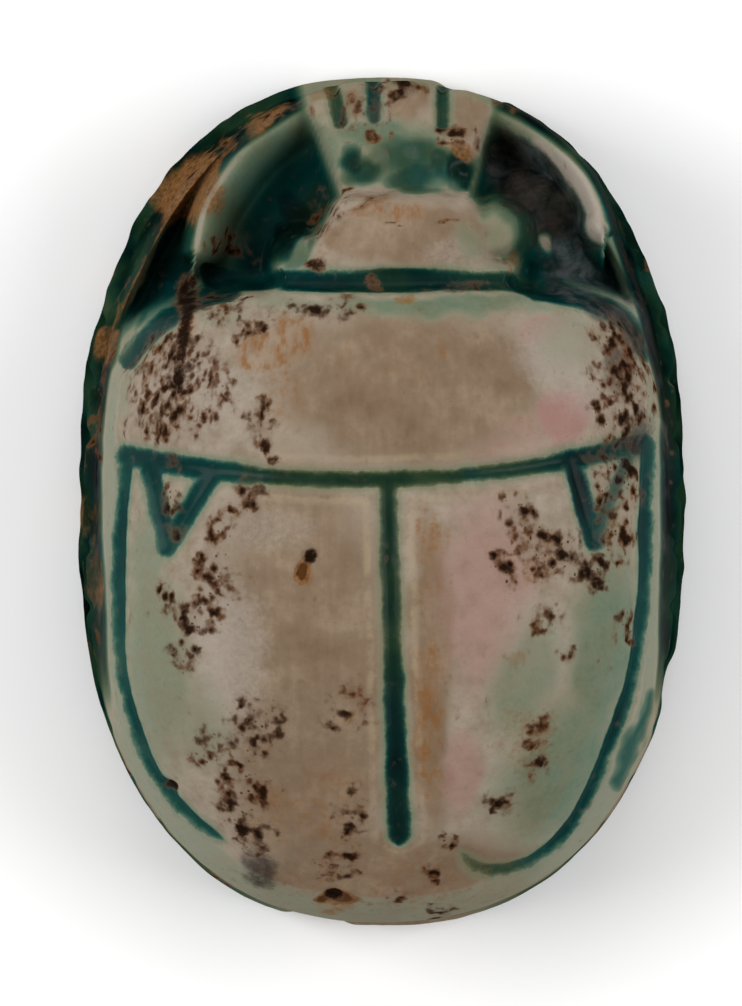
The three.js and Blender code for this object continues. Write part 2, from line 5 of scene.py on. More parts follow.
import bpy
import numpy as np
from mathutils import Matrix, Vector


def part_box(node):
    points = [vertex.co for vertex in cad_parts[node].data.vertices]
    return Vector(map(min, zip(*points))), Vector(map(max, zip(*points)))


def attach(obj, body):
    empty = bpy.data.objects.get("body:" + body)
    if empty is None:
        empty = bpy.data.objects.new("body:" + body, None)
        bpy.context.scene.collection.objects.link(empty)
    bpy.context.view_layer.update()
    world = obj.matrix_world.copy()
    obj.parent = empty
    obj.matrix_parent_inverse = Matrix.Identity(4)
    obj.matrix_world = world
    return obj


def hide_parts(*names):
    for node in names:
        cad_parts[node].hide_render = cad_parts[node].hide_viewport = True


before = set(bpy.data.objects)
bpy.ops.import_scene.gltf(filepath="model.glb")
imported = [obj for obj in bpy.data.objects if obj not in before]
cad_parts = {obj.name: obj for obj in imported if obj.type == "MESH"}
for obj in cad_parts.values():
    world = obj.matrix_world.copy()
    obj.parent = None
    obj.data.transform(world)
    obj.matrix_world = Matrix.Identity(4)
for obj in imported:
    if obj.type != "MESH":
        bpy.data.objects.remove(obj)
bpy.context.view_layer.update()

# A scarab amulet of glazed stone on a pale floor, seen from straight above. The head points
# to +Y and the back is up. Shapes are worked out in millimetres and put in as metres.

MM = 0.001
low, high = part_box("scarab")
HALF_WIDTH = (high.x - low.x) / 2 / MM
HALF_LENGTH = (high.y - low.y) / 2 / MM
HEIGHT = high.z / MM
HALF_ROUND = math.pi * (HALF_WIDTH + HALF_LENGTH) / 2

# The blank
BASE_THICKNESS = 1.3
BASE_CHAMFER = 0.12
BASE_LEDGE = 0.14
FOOT_SINK = BASE_THICKNESS / 3
OUTLINE_POWER = 2.35
DOME_POWER = 2.3
SHOULDER_POWER = {"left": 4, "right": 5.5}
SHOULDER_HALF_WIDTH = 0.93
WAIST_HALF_WIDTH = 1.05
RIM = {"front": 0.985, "side": 0.93, "tail": 0.985}
RISE = HEIGHT - BASE_THICKNESS

# The bore for a thread
BORE_DIAMETER = 1.2
BORE_ABOVE_BASE = 0.3
BORE_SIDES = 64
BORE_X = 0.02

# Heights, as shares of the rise from the base to the top of the back
LIFT = {
    "side_edge": 0.29,
    "tail_edge": 0.29,
    "thorax_fall": 0.15,
    "hollow": 0.27,
    "filled_hollow": 0.36,
    "front_rim": 0.11,
    "neck": 0.72,
    "crown_back": 0.76,
    "crown_front": 0.66,
    "eye": 0.64,
    "clypeus_back": 0.53,
    "clypeus_front": 0.34,
    "foreleg_tip": 0.33,
    "foreleg_knee": 0.5,
    "side_ridge": 0.26,
}

# The head: plates between a back and a front line and two slanting sides, as shares of half
# the width and half the length
HEAD_CENTRE_X = 0.06
CROWN_FALL = 0.8
CLYPEUS_FALL = 0.9
NECK_Y = 0.505
NECK = {"back": 0.4, "front": 0.56, "left": (-0.36, -0.36), "right": (0.44, 0.44)}
CROWN = {"back": 0.53, "front": 0.715, "left": (-0.27, -0.15), "right": (0.36, 0.3)}
CLYPEUS = {"back": 0.69, "front": 1.05, "left": (-0.13, -0.33), "right": (0.28, 0.42)}
PLATE_SOFTNESS = 0.18
LEG_BLEND = 0.15
EYES = [(-0.27, 0.575, 0.68), (0.37, 0.63, 0.85)]
HEAD_PITS = [(-0.04, 0.782, 0.55), (0.13, 0.79, 0.62), (0.26, 0.76, 0.35)]
HEAD_PIT_DEPTH = 0.26
DEPOSIT = (0.53, 0.65, 1.5)
FORELEG_CREST = {
    "left": [(-0.31, 0.905), (-0.43, 0.84), (-0.515, 0.765), (-0.58, 0.685), (-0.61, 0.59)],
    "right": [
        (0.39, 0.925), (0.49, 0.885), (0.585, 0.83), (0.665, 0.765), (0.712, 0.69), (0.718, 0.645),
    ],
}
FORELEG_OUTER_SLOPE = 0.42
FORELEG_INNER_SLOPE = 1.15
SIDE_RIDGE = [(0.5, 0.84), (0.66, 0.7), (0.78, 0.55), (0.865, 0.41), (0.915, 0.27)]
SIDE_RIDGE_WIDTH = 0.95

# Carved lines, as shares of half the width and half the length
SUTURE = [(0.02, 0.045), (0.022, -0.06), (0.036, -0.4), (0.057, -0.825)]
MARGIN_LINE = {
    "left": [
        (-0.838, 0.1), (-0.855, -0.06), (-0.862, -0.22), (-0.855, -0.38), (-0.81, -0.52),
        (-0.75, -0.63), (-0.655, -0.72), (-0.54, -0.785), (-0.45, -0.82),
    ],
    "right": [
        (0.872, 0.133), (0.865, 0), (0.86, -0.14), (0.845, -0.28), (0.817, -0.4), (0.775, -0.505),
        (0.665, -0.703), (0.575, -0.793), (0.48, -0.845), (0.385, -0.863), (0.3, -0.853),
        (0.252, -0.814), (0.238, -0.762),
    ],
}
SHOULDER_MARK = {
    "left": [(-0.765, 0.1), (-0.7, -0.105), (-0.55, 0.07)],
    "right": [(0.615, 0.1), (0.69, -0.09), (0.805, 0.1)],
}
SHOULDER_RIM = {
    "left": [(-0.5, 0.5), (-0.62, 0.475), (-0.7, 0.435), (-0.76, 0.395), (-0.815, 0.35), (-0.86, 0.3)],
    "right": [(0.5, 0.5), (0.6, 0.487), (0.715, 0.458), (0.8, 0.42), (0.855, 0.36), (0.88, 0.28)],
}
NECK_LINE = [(-0.56, 0.53), (-0.37, 0.522), (-0.1, 0.515), (0.2, 0.518), (0.42, 0.514), (0.56, 0.5)]
HEAD_NOTCHES = [
    [(-0.18, 1.02), (-0.143, 0.894)],
    [(-0.034, 1.03), (-0.027, 0.9)],
    [(0.2, 1.01), (0.2, 0.885)],
]
SHOULDER_DEPTH = 0.06
SHOULDER_REACH = 0.3

# Chips out of the edge of the base: x, y, radius and depth
EDGE_CHIPS = [(0.29, 0.95, 0.9, 0.28), (-0.21, -0.98, 0.8, 0.2), (0.93, -0.42, 0.7, 0.12)]

# Legs on the sides, as (along, up) from the head to the tail and from the base to the back
SIDE_LEGS = [
    [(0.33, 0.2), (0.44, 0.82), (0.5, 0.7), (0.63, 0.2)],
    [(0.54, 0.85), (0.68, 0.78), (0.8, 0.45), (0.93, 0.25)],
]
LEG_THICKNESS = 0.7
LEG_RELIEF = 0.2
HATCHED = (0.36, 0.78)
HATCH_PITCH = 1.05
HATCH_WIDTH = 0.34
HATCH_DEPTH = 0.12
SHOWN_SIDE = 0.8
SIDE_HEIGHT = 2.0

# Relief of the skin, as height and size and seed of each layer of noise, then the crust and pits
SKIN_WAVES = [(0.03, 2.4, 61), (0.014, 0.8, 62), (0.006, 0.22, 63)]
CRUST_HEIGHT = 0.035
PIT_DEPTH = 0.1

# Scallops along the edge of the base, and how far apart the two sides' noise is kept
SCALLOP = {"depth": 0.05, "size": 0.42, "fine_depth": 0.012, "fine_size": 0.2}
SIDES_APART = 7

# The line around the underside
BORDER_INSET = 0.92
BORDER_HALF_WIDTH = 0.1
BORDER_DEPTH = 0.16

# The sheet of points over the beetle, and where its outer band turns
COLUMNS = 240
ROWS = 330
BACK_RING = 0.75
SHEET_SQUARENESS = 8
EDGE_CROWDING = 0.6
SIDE_END = 0.52
LEDGE_END = 0.58
TOP_CHAMFER_END = 0.64
EDGE_END = 0.92

# The forelegs' finish: how far inward from the crest its worn band lies, half the width of the band,
# how far the pale glaze reaches inward, and how pale the band is, which is wear and a painted highlight
# along the crest
FORELEG_BAND = {"left": 0.03, "right": 0.2}
FORELEG_CREST_HALF = {"left": 0.07, "right": 0.15}
FORELEG_PALE_REACH = {"left": 1.25, "right": 0.8}
FORELEG_WEAR_AND_HIGHLIGHT = {"left": 0.6, "right": 1.05}


# Sums on whole arrays
def mix(a, b, share):
    """Goes straight from a to b as the share goes from 0 to 1."""
    return a + (b - a) * share


def smooth(start, end, value):
    """A step from 0 at the start to 1 at the end, level at both: 3tt - 2ttt."""
    t = np.clip((value - start) / (end - start), 0, 1)
    return t * t * (3 - 2 * t)


def fade(start, end, value):
    """The same step the other way: from 1 at the start to 0 at the end."""
    return 1 - smooth(start, end, value)


def most(*values):
    """The highest of several values at each place."""
    return functools.reduce(np.maximum, values)


def highest(a, b, blend):
    """The higher of two surfaces, rounded where they meet within the blend."""
    h = np.clip(0.5 + (a - b) / (2 * blend), 0, 1)
    return mix(b, a, h) + blend * h * (1 - h)


def noise(x, y, z, size, seed):
    """Random heights from -1 to 1 at the corners of a cubic lattice of the given size, with
    smooth steps between them."""
    table = np.random.default_rng(seed).uniform(-1, 1, (64, 64, 64))
    scaled = [np.asarray(v) / size for v in (x, y, z)]
    cell = [np.floor(v).astype(int) for v in scaled]
    part = [smooth(0, 1, v - c) for v, c in zip(scaled, cell)]
    total = 0
    for corner in itertools.product((0, 1), repeat=3):
        weight = 1
        for p, side in zip(part, corner):
            weight = weight * (p if side else 1 - p)
        total = total + weight * table[tuple((c + side) % 64 for c, side in zip(cell, corner))]
    return total


def curve(places, steps=6):
    """Points in millimetres on a smooth curve through places that are given as shares: each
    stretch is the cubic whose slope at a place is half the way between its neighbours."""
    p = np.array(places) * (HALF_WIDTH, HALF_LENGTH)
    p = np.vstack([2 * p[0] - p[1], p, 2 * p[-1] - p[-2]])
    t = np.linspace(0, 1, steps, endpoint=False)[:, None]
    a, b, c, d = [p[i : len(p) - 3 + i, None] for i in range(4)]
    sloped = 2 * b + (c - a) * t
    bent = (2 * a - 5 * b + 4 * c - d) * t**2 + (3 * b - a - 3 * c + d) * t**3
    return np.vstack([(0.5 * (sloped + bent)).reshape(-1, 2), p[-2]])


def straight(places):
    """The places themselves, in millimetres."""
    return np.array(places) * (HALF_WIDTH, HALF_LENGTH)


def nearest(points, x, y):
    """For each place, the distance to a run of points, how far along the run that is (0 to 1),
    and on which side of it the place lies (1 left, -1 right)."""
    distance = np.full(np.shape(x), np.inf)
    at = np.zeros(np.shape(x))
    side = np.ones(np.shape(x))
    count = len(points) - 1
    for i, (a, b) in enumerate(zip(points, points[1:])):
        dx, dy = b - a
        t = np.clip(((x - a[0]) * dx + (y - a[1]) * dy) / (dx * dx + dy * dy), 0, 1)
        px, py = x - a[0] - t * dx, y - a[1] - t * dy
        d = np.hypot(px, py)
        closer = d < distance
        distance = np.where(closer, d, distance)
        at = np.where(closer, (i + t) / count, at)
        side = np.where(closer, np.where(dx * py >= dy * px, 1, -1), side)
    return distance, at, side


def apart(x, y, place):
    """The distance in millimetres between places and one place, given as shares."""
    return np.hypot((x - place[0]) * HALF_WIDTH, (y - place[1]) * HALF_LENGTH)


# The form of the beetle, over places (x, y) that are shares of the outline
def lift(share):
    """A height in millimetres: the base's thickness and a share of the rise above it."""
    return BASE_THICKNESS + RISE * share


def outline_radius(x, y):
    """1 on the outline and less inside: the power mean of |x| and |y|."""
    return (np.abs(x) ** OUTLINE_POWER + np.abs(y) ** OUTLINE_POWER) ** (1 / OUTLINE_POWER)


def along_side(x, y):
    """From 0 at the head, round either side, to 1 at the tail."""
    return np.arctan2(np.abs(x), y) / math.pi


def rim_share(x, y):
    """Where the edge of the back lies, as a share of the outline: close to it at the front, in
    from it at the sides, and close again at the tail, with smooth steps between them."""
    along = along_side(x, y)
    turned = np.where(x < 0, smooth(0.02, 0.16, along), smooth(0.22, 0.32, along))
    front = mix(RIM["front"], RIM["side"], turned)
    return mix(front, RIM["tail"], smooth(0.55, 0.69, along))


def dome_height(x, y):
    """The dome: the edge's height and a flattened half circle on it, lower towards the neck."""
    out = np.minimum(1, outline_radius(x, y) / rim_share(x, y))
    edge = mix(LIFT["side_edge"], LIFT["tail_edge"], smooth(0.65, 0.95, along_side(x, y)))
    fall = LIFT["thorax_fall"] * (most(y, 0) / NECK_Y) ** 2
    return lift(edge + (1 - edge - fall) * np.sqrt(1 - out**DOME_POWER))


def body_mask(x, y):
    """1 on the thorax and the wing cases, 0 in front of the neck and beside the shoulders."""
    reach = mix(WAIST_HALF_WIDTH, SHOULDER_HALF_WIDTH, smooth(0, 0.25, y))
    power = np.where(x < 0, SHOULDER_POWER["left"], SHOULDER_POWER["right"])
    out = ((np.abs(x) / reach) ** power + (most(y, 0) / NECK_Y) ** power) ** (1 / power)
    return fade(0.95, 1.07, out)


def plate_mask(plate, x, y):
    """1 on a plate of the head and 0 off it, with soft edges."""
    t = (y - plate["back"]) / (plate["front"] - plate["back"])
    in_x = np.minimum(x - mix(*plate["left"], t), mix(*plate["right"], t) - x) * HALF_WIDTH
    in_y = np.minimum(y - plate["back"], plate["front"] - y) * HALF_LENGTH
    soft = PLATE_SOFTNESS
    return smooth(-soft, soft, in_x) * smooth(-soft, soft, in_y)


def plate_height(plate, back, front, fall, x, y):
    """A plate falls evenly from its back to its front, and away from the middle of the head
    with the square of the distance."""
    t = np.clip((y - plate["back"]) / (plate["front"] - plate["back"]), 0, 1)
    return lift(mix(back, front, t) - fall * (x - HEAD_CENTRE_X) ** 2)


FORELEGS = {hand: curve(places) for hand, places in FORELEG_CREST.items()}
INNER_SIDE = {"left": 1, "right": -1}


def foreleg_height(hand, x, y):
    """A crest that rises from the tip to the knee, steep towards the rim and with a long slope
    towards the head: a smooth step of the distance from the crest's line."""
    distance, at, side = nearest(FORELEGS[hand], x * HALF_WIDTH, y * HALF_LENGTH)
    slope = np.where(side == INNER_SIDE[hand], FORELEG_INNER_SLOPE, FORELEG_OUTER_SLOPE)
    crest = mix(LIFT["foreleg_tip"], LIFT["foreleg_knee"], smooth(0, 0.7, at))
    return lift(mix(LIFT["front_rim"], crest, fade(0.1, 1, distance / slope)))


def side_ridge_height(x, y):
    """A low ridge along each side of the head, which falls off smoothly to either side."""
    distance = nearest(curve(SIDE_RIDGE), np.abs(x) * HALF_WIDTH, y * HALF_LENGTH)[0]
    return lift(LIFT["side_ridge"] * fade(0, 1, distance / (SIDE_RIDGE_WIDTH / 2)))


def head_height(x, y):
    """The hollows around the head, and the ridges, forelegs and plates that stand in them."""
    out = outline_radius(x, y) / rim_share(x, y)
    z = lift(mix(LIFT["hollow"], LIFT["front_rim"], smooth(0.75, 1, out)))
    filled = fade(0.4, 1, apart(x, y, DEPOSIT) / DEPOSIT[2])
    z = mix(z, lift(LIFT["filled_hollow"]), filled)
    z = highest(z, side_ridge_height(x, y), LEG_BLEND)
    for hand in FORELEGS:
        z = highest(z, foreleg_height(hand, x, y), LEG_BLEND)
    clypeus = plate_height(CLYPEUS, LIFT["clypeus_back"], LIFT["clypeus_front"], CLYPEUS_FALL, x, y)
    crown = plate_height(CROWN, LIFT["crown_back"], LIFT["crown_front"], CROWN_FALL, x, y)
    z = mix(z, most(z, clypeus), plate_mask(CLYPEUS, x, y))
    for eye in EYES:
        z = mix(z, most(z, lift(LIFT["eye"])), fade(0.45, 1, apart(x, y, eye) / eye[2]))
    z = mix(z, most(z, lift(LIFT["neck"])), plate_mask(NECK, x, y))
    z = mix(z, most(z, crown), plate_mask(CROWN, x, y))
    for pit in HEAD_PITS:
        z = z - HEAD_PIT_DEPTH * fade(0, 1, apart(x, y, pit) / pit[2])
    return z


def back_height(x, y):
    """The dome where the body is and the head where it isn't, mixed along the soft line between."""
    return mix(head_height(x, y), dome_height(x, y), body_mask(x, y))


def outline_points(x, y, inset):
    """Points on the outline, moved in by the inset along the way to the middle."""
    px, py = x * HALF_WIDTH, y * HALF_LENGTH
    scale = 1 - inset / most(np.hypot(px, py), 1e-9)
    return px * scale, py * scale


def chip_depth(x, y):
    """How far the edge of the base is chipped or worn away at a place on the outline."""
    depth = 0
    for chip in EDGE_CHIPS:
        depth = depth + chip[3] * fade(0.2, 1, apart(x, y, chip) / chip[2])
    along = along_side(x, y)
    run = along * HALF_ROUND
    hand = np.sign(x) * SIDES_APART
    scallops = SCALLOP["depth"] * (1 + noise(run, hand, 0, SCALLOP["size"], 11))
    scallops = scallops + SCALLOP["fine_depth"] * noise(run, hand, 5, SCALLOP["fine_size"], 12)
    return depth + scallops * smooth(0.08, 0.2, along) * (1 - 0.85 * smooth(0.54, 0.62, along))


def sheet_places():
    """Places of a square sheet over the beetle: x and y as shares of the outline, and down
    from 0 at the edge of the back to 1 under the base. The sheet's squares swell to the oval
    by a power mean whose power falls from the middle to the edge."""
    u, v = np.meshgrid(np.linspace(-1, 1, COLUMNS + 1), np.linspace(-1, 1, ROWS + 1))
    ring = most(np.abs(u), np.abs(v))
    on_back = np.minimum(1, ring / BACK_RING)
    reach = mix(on_back, np.sin(math.pi / 2 * on_back), EDGE_CROWDING)
    power = OUTLINE_POWER + SHEET_SQUARENESS * (1 - on_back) ** 2
    length = (np.abs(u) ** power + np.abs(v) ** power) ** (1 / power)
    scale = reach / most(length, 1e-9)
    down = most(0, (ring - BACK_RING) / (1 - BACK_RING))
    return u * scale, v * scale, down


def sheet_points(x, y, down):
    """The points of the uncut beetle. The back is a height over its place. The outer band goes
    down the side to the base, out over its ledge, down its edge and round under it."""
    rim = rim_share(x, y)
    top = back_height(x * rim, y * rim)
    edge_x, edge_y = x * rim * HALF_WIDTH, y * rim * HALF_LENGTH
    chip = chip_depth(x, y)
    foot_x, foot_y = outline_points(x, y, BASE_LEDGE + chip)
    foot_z = BASE_THICKNESS - FOOT_SINK
    to_base = (top - BASE_THICKNESS) / (top - foot_z)
    side = np.clip(down / SIDE_END, 0, 1) * to_base
    px = mix(edge_x, foot_x, side**0.8)
    py = mix(edge_y, foot_y, side**0.8)
    pz = mix(top, foot_z, side)
    turns = [
        (SIDE_END, LEDGE_END, chip + BASE_CHAMFER, BASE_THICKNESS),
        (LEDGE_END, TOP_CHAMFER_END, chip, BASE_THICKNESS - BASE_CHAMFER),
        (TOP_CHAMFER_END, EDGE_END, chip, BASE_CHAMFER),
        (EDGE_END, 1, chip + BASE_CHAMFER, 0),
    ]
    for start, end, inset, height in turns:
        t = np.clip((down - start) / (end - start), 0, 1)
        to_x, to_y = outline_points(x, y, inset)
        px, py, pz = mix(px, to_x, t), mix(py, to_y, t), mix(pz, height, t)
    return np.stack([px, py, pz], axis=-1), 1 - side / SHOWN_SIDE


def outward(points):
    """The way out of the sheet at each point: the cross product of its two slopes."""
    across = np.gradient(points, axis=1)
    along = np.gradient(points, axis=0)
    normal = np.cross(across, along)
    return normal / np.linalg.norm(normal, axis=-1, keepdims=True)


def eased(points, share):
    """Each inner point moves by a share of the way to the middle of its four neighbours."""
    result = points.copy()
    around = points[:-2, 1:-1] + points[2:, 1:-1] + points[1:-1, :-2] + points[1:-1, 2:]
    result[1:-1, 1:-1] = mix(points[1:-1, 1:-1], around / 4, share)
    return result


# Where each finish lies. A mark is an oval in millimetres from the middle of the amulet: x, y,
# half its size across and along, its strength, and its turn in degrees if it has one
WORN_TO_TAN = [
    (0.6, 2.35, 2.9, 1.75, 1), (-1.5, -3.7, 1.9, 4.9, 0.95, 2), (0.95, -3.7, 0.55, 3.7, 0.85, 1),
    (0.3, -7.8, 3.4, 1.2, 1), (0.85, 5.4, 2, 0.75, 0.9), (-0.6, 8.2, 0.5, 0.4, 0.8),
    (0.5, 8.2, 0.6, 0.5, 0.9), (1.7, 7.9, 0.6, 0.7, 0.8, 15), (-0.7, 5.3, 0.5, 0.4, 0.9),
]
PINK = [
    (2.1, -1.9, 1.25, 2.5, 0.8), (1.65, -5.5, 0.5, 0.9, 0.8, -10), (3.65, 1.75, 0.6, 0.6, 1.3),
    (2.6, 1.2, 1, 0.6, 0.6, 10), (3.35, 3.45, 0.5, 0.4, 0.8),
]
# Whitish places on the back: mostly a painted sheen where the soft lights would reflect off the wings
# and the thorax, with some pale wear.
SHEEN_AND_PALE_MARKS = [
    (-3.1, -3.2, 0.9, 1.9, 0.6, 4), (1.5, 5.1, 0.6, 0.4, 0.45), (-3.8, 2.2, 1.4, 1, 0.55),
    (3.6, 2.9, 0.9, 0.9, 0.6), (-2.2, -0.6, 0.9, 0.5, 0.4), (3.2, -2.9, 0.9, 1.2, 0.5, 20),
    (4.3, 2.3, 0.8, 0.7, 0.5), (2.6, -5.9, 0.6, 0.8, 0.4),
]
THIN_GLAZE = [
    (-4.6, -3.2, 0.85, 2.7, 0.17, 4), (-4.75, -1.2, 0.5, 1.2, 0.16), (-3.8, -4.6, 0.8, 1.2, 0.14, 20),
    (4.5, -3.1, 0.85, 2.7, 0.21, -6), (3.6, -5.5, 1.3, 2, 0.21, -30), (2.9, -3.6, 0.8, 1.5, 0.18, -15),
    (3.8, 3.3, 0.75, 0.8, 0.12), (1.2, 4, 2.7, 0.28, 0.22), (-1.8, 4, 1.1, 0.25, 0.15),
    (1.75, 5.3, 0.3, 0.5, 0.16), (-3.2, 3.7, 0.6, 0.4, 0.12), (-1.3, 7.3, 0.5, 0.9, 0.2, 20),
    (0.1, 7.5, 1.5, 0.4, 0.24), (2.35, 5.4, 0.45, 0.75, 0.15), (-1.8, 5, 0.4, 0.45, 0.28, -30),
    (-4.3, 4.2, 0.6, 0.16, 0.34, 20), (-5, 3.85, 0.2, 0.55, 0.34, -40),
    (-5.45, 3.2, 0.16, 0.5, 0.3, -10), (-5.3, 2.4, 0.3, 0.8, 0.14),
]
GREEN_HOLLOW = [
    (-0.75, 6.95, 0.25, 0.35, 0.74, 10), (-0.5, 6.75, 0.45, 0.36, 0.6), (0.5, 7.05, 0.9, 0.55, 0.5),
    (0.6, 6.6, 0.7, 0.3, 0.58), (1.2, 6.85, 0.4, 0.38, 0.6), (1.62, 6.75, 0.35, 0.35, 0.82),
]
HEAD_STAINS = [
    (-0.23, 7.47, 0.2, 0.24, 0.9, -30), (0.2, 7.5, 0.12, 0.16, 0.7, -20),
    (1.63, 7.53, 0.2, 0.15, 1, 20), (1.3, 7.6, 0.16, 0.1, 0.8, 10), (1.95, 7.25, 0.14, 0.16, 0.8),
    (-0.74, 6.31, 0.18, 0.14, 0.95, 10), (-1.48, 8.06, 0.14, 0.2, 0.7),
    (-0.6, 8.28, 0.14, 0.2, 0.85, 20), (0.55, 8.42, 0.28, 0.16, 0.75), (-0.1, 6.2, 0.5, 0.1, 0.75, 25),
    (1.3, 5.72, 0.4, 0.07, 0.75), (0.3, 5.75, 0.3, 0.07, 0.75, -15), (-1.15, 5.55, 0.16, 0.3, 0.8, -45),
    (-1.35, 4.75, 0.3, 0.16, 1), (-0.2, 4.55, 0.2, 0.1, 0.8), (0.95, 4.5, 0.25, 0.12, 0.75),
]
OCHRE = [
    (0.3, -7.9, 3.2, 1, 0.45), (-1.1, -6.2, 0.9, 1.2, 0.5), (-2.2, 3.1, 0.85, 0.4, 1.3, 10),
    (-1.75, 3.35, 0.45, 0.4, 1.2), (-2, 2, 0.5, 0.9, 0.5), (2.68, -3.16, 0.2, 0.2, 0.9),
    (1.28, 3.05, 0.13, 0.45, 0.9, 8), (-0.72, -4.4, 0.3, 0.16, 0.6, 20), (-1.03, -7.3, 0.3, 0.3, 0.5),
    (0.47, 4.2, 0.3, 0.2, 0.8), (-1.44, -1.42, 0.2, 0.3, 1), (-0.97, -8.2, 0.5, 0.35, 1),
    (0.95, -1, 0.35, 1.1, 0.6), (0.3, 5.95, 1.2, 0.15, 0.7), (-1.1, 5.2, 0.2, 0.5, 0.5, -30),
    (-0.2, 2.6, 1.4, 1.2, 0.3), (0.9, -4.5, 0.4, 1.9, 0.75), (-0.75, -1.3, 0.2, 0.5, 0.3),
    (-2.4, -6.4, 0.7, 0.9, 0.5), (-0.6, -6.4, 0.5, 1.2, 0.4), (3, -4.9, 0.8, 0.8, 0.5, 30),
    (3.2, -1.2, 0.9, 0.7, 0.5, 30),
]
RUST = [
    (-1.48, -1.36, 0.14, 0.26, 2.6), (-0.8, -8.12, 0.36, 0.16, 2.6), (-1.25, -8.15, 0.2, 0.12, 2.2),
    (-3.95, 6.45, 0.62, 0.8, 1.2, -40), (-2.3, 7.85, 0.5, 0.25, 0.9, 30),
    (1.7, 7.1, 0.3, 0.2, 0.8, -30), (-0.2, 6.1, 0.6, 0.15, 0.6, 10), (2.6, 4.9, 0.25, 0.3, 0.5),
]
SPECKS_LONG = [
    (-4.55, 3.2, 0.5, 0.4, 0.7), (-4.3, 2.7, 1, 1, 0.7), (-3.4, 2.3, 0.5, 0.7, 0.72, 30),
    (-4.3, 1.7, 1, 0.7, 0.75), (-2.9, 3.6, 0.8, 0.4, 0.62), (-2.5, 1.6, 0.4, 0.5, 0.55),
]
SPECKS_ROUND = [
    (0.95, -7.55, 0.32, 0.24, 0.8), (1.13, -8.4, 0.35, 0.22, 0.8), (0.3, -8.1, 0.3, 0.2, 0.65),
    (-0.7, -4.2, 0.6, 0.6, 0.6), (-0.6, -6.5, 0.5, 0.9, 0.6), (-0.9, -7.4, 0.7, 0.3, 0.65),
    (-3.3, -0.6, 0.35, 0.6, 0.78, -20), (-3.4, -1.6, 0.5, 0.8, 0.85), (-4.35, -1.9, 0.22, 0.5, 0.9, 10),
    (-3.75, -2.35, 0.6, 0.5, 0.85), (-4.05, -3.1, 0.4, 0.5, 0.85), (-2.7, 0.1, 0.6, 0.35, 0.7, 20),
    (-2.6, -4.7, 0.9, 0.8, 0.8, 30), (-3.6, -5.1, 0.45, 0.6, 0.85), (-2.9, -5.9, 0.7, 0.8, 0.85),
    (-2.7, -6.8, 0.5, 0.5, 0.8), (-4.4, 0.1, 0.3, 0.5, 0.7), (-4.3, -0.6, 0.3, 0.25, 0.7),
    (3, -0.6, 0.45, 1, 0.95, 35), (2.5, -1.4, 0.35, 0.5, 0.95, 30), (3.5, -1.1, 0.8, 0.5, 0.92, 30),
    (4.2, -1.4, 0.5, 0.45, 0.95, 20), (4.8, -0.8, 0.5, 0.5, 0.9), (3.3, -2.4, 0.5, 0.35, 0.7, 40),
    (4.95, -2.5, 0.3, 0.5, 0.75, 10), (3.1, -4.6, 0.45, 0.3, 0.8, 30), (3.1, -5.3, 0.45, 0.35, 0.8, 40),
    (2.45, -6.05, 0.4, 0.35, 0.8, 20), (3.7, -3.1, 0.3, 0.3, 0.7), (1.3, -6.85, 0.25, 0.2, 0.8, 20),
    (4.9, 2.2, 0.8, 1.2, 0.85), (4.7, 3.4, 0.5, 0.5, 0.85), (4.9, 0.3, 0.6, 0.8, 0.85),
    (1.5, 7.4, 0.6, 0.3, 0.7), (-3.2, 5.35, 0.55, 0.35, 0.75), (-0.4, 7.9, 0.8, 0.5, 0.6),
    (-1, 5.8, 0.6, 0.5, 0.5, 30), (0.3, 8.4, 0.7, 0.3, 0.65), (1.6, 4.45, 0.6, 0.2, 0.6),
    (-1.2, 3.9, 1, 0.3, 0.65), (-3.4, 4, 0.9, 0.4, 0.75),
]
SOOT = [
    (0.55, 8.35, 0.3, 0.22, 0.5), (3, 6.6, 0.75, 1.1, 0.95, 40), (3.7, 5.6, 0.75, 0.95, 0.9, 20),
    (2.7, 7.3, 0.35, 0.5, 0.8, 30), (3.9, 4.7, 0.9, 0.5, 0.7, -20), (4.75, 4, 0.8, 0.45, 0.75, -30),
    (5.2, 3.4, 0.35, 0.7, 0.7, 10), (4.8, 2.7, 0.45, 0.7, 0.6), (5.3, 1.4, 0.4, 0.6, 0.6),
    (-2.45, -7.5, 0.5, 0.42, 0.65, -30), (-4.88, 2.6, 0.2, 0.2, 0.5),
]
PIT_MARKS = [
    (-1.44, -1.1, 0.17, 0.18, 1), (-0.97, -8.05, 0.25, 0.15, 1, -10), (-4.4, -5.85, 0.2, 0.16, 1),
    (0.06, -1.14, 0.06, 0.06, 0.9),
]
LUMPS = [
    (-2.35, 1.05, 0.2, 0.22, 0.9), (-2.15, 0.8, 0.2, 0.16, 0.8), (-4.4, 0.9, 0.2, 0.15, 0.6),
]
STREAK = [(-3.95, 4.4), (-4.08, 3.5), (-4.12, 2.9), (-4.2, 2.2)]
SHOULDER_CREST = [(0.6, 0.52), (0.76, 0.478), (0.85, 0.42), (0.893, 0.35), (0.9, 0.28)]
SECOND_BAND = [(5.55, -4.0), (5.3, -4.6), (4.85, -5.7)]
PALE_COLLAR = [
    (-1.6, 5.2, 0.18, 0.5, 1, -45), (2.2, 5.35, 0.48, 0.8, 1), (3.28, 5.32, 0.12, 0.22, 1.1, 15),
    (-5.1, 6.1, 0.3, 0.55, 0.8, -40),
]
BARE_SPOT = [(3.28, 5.32, 0.14, 0.24, 1, 15)]
DEEP_HOLLOW = [
    (-1.95, 5.5, 0.3, 0.5, 0.9, -30), (-1.75, 5.75, 0.5, 1, 0.86, 25), (-2.6, 5.1, 1, 0.45, 0.82),
    (-4.3, 4.75, 1.2, 0.45, 0.84), (-5.2, 4.4, 0.6, 0.8, 0.8, -20), (-3, 7.6, 0.5, 0.35, 0.8, -30),
]
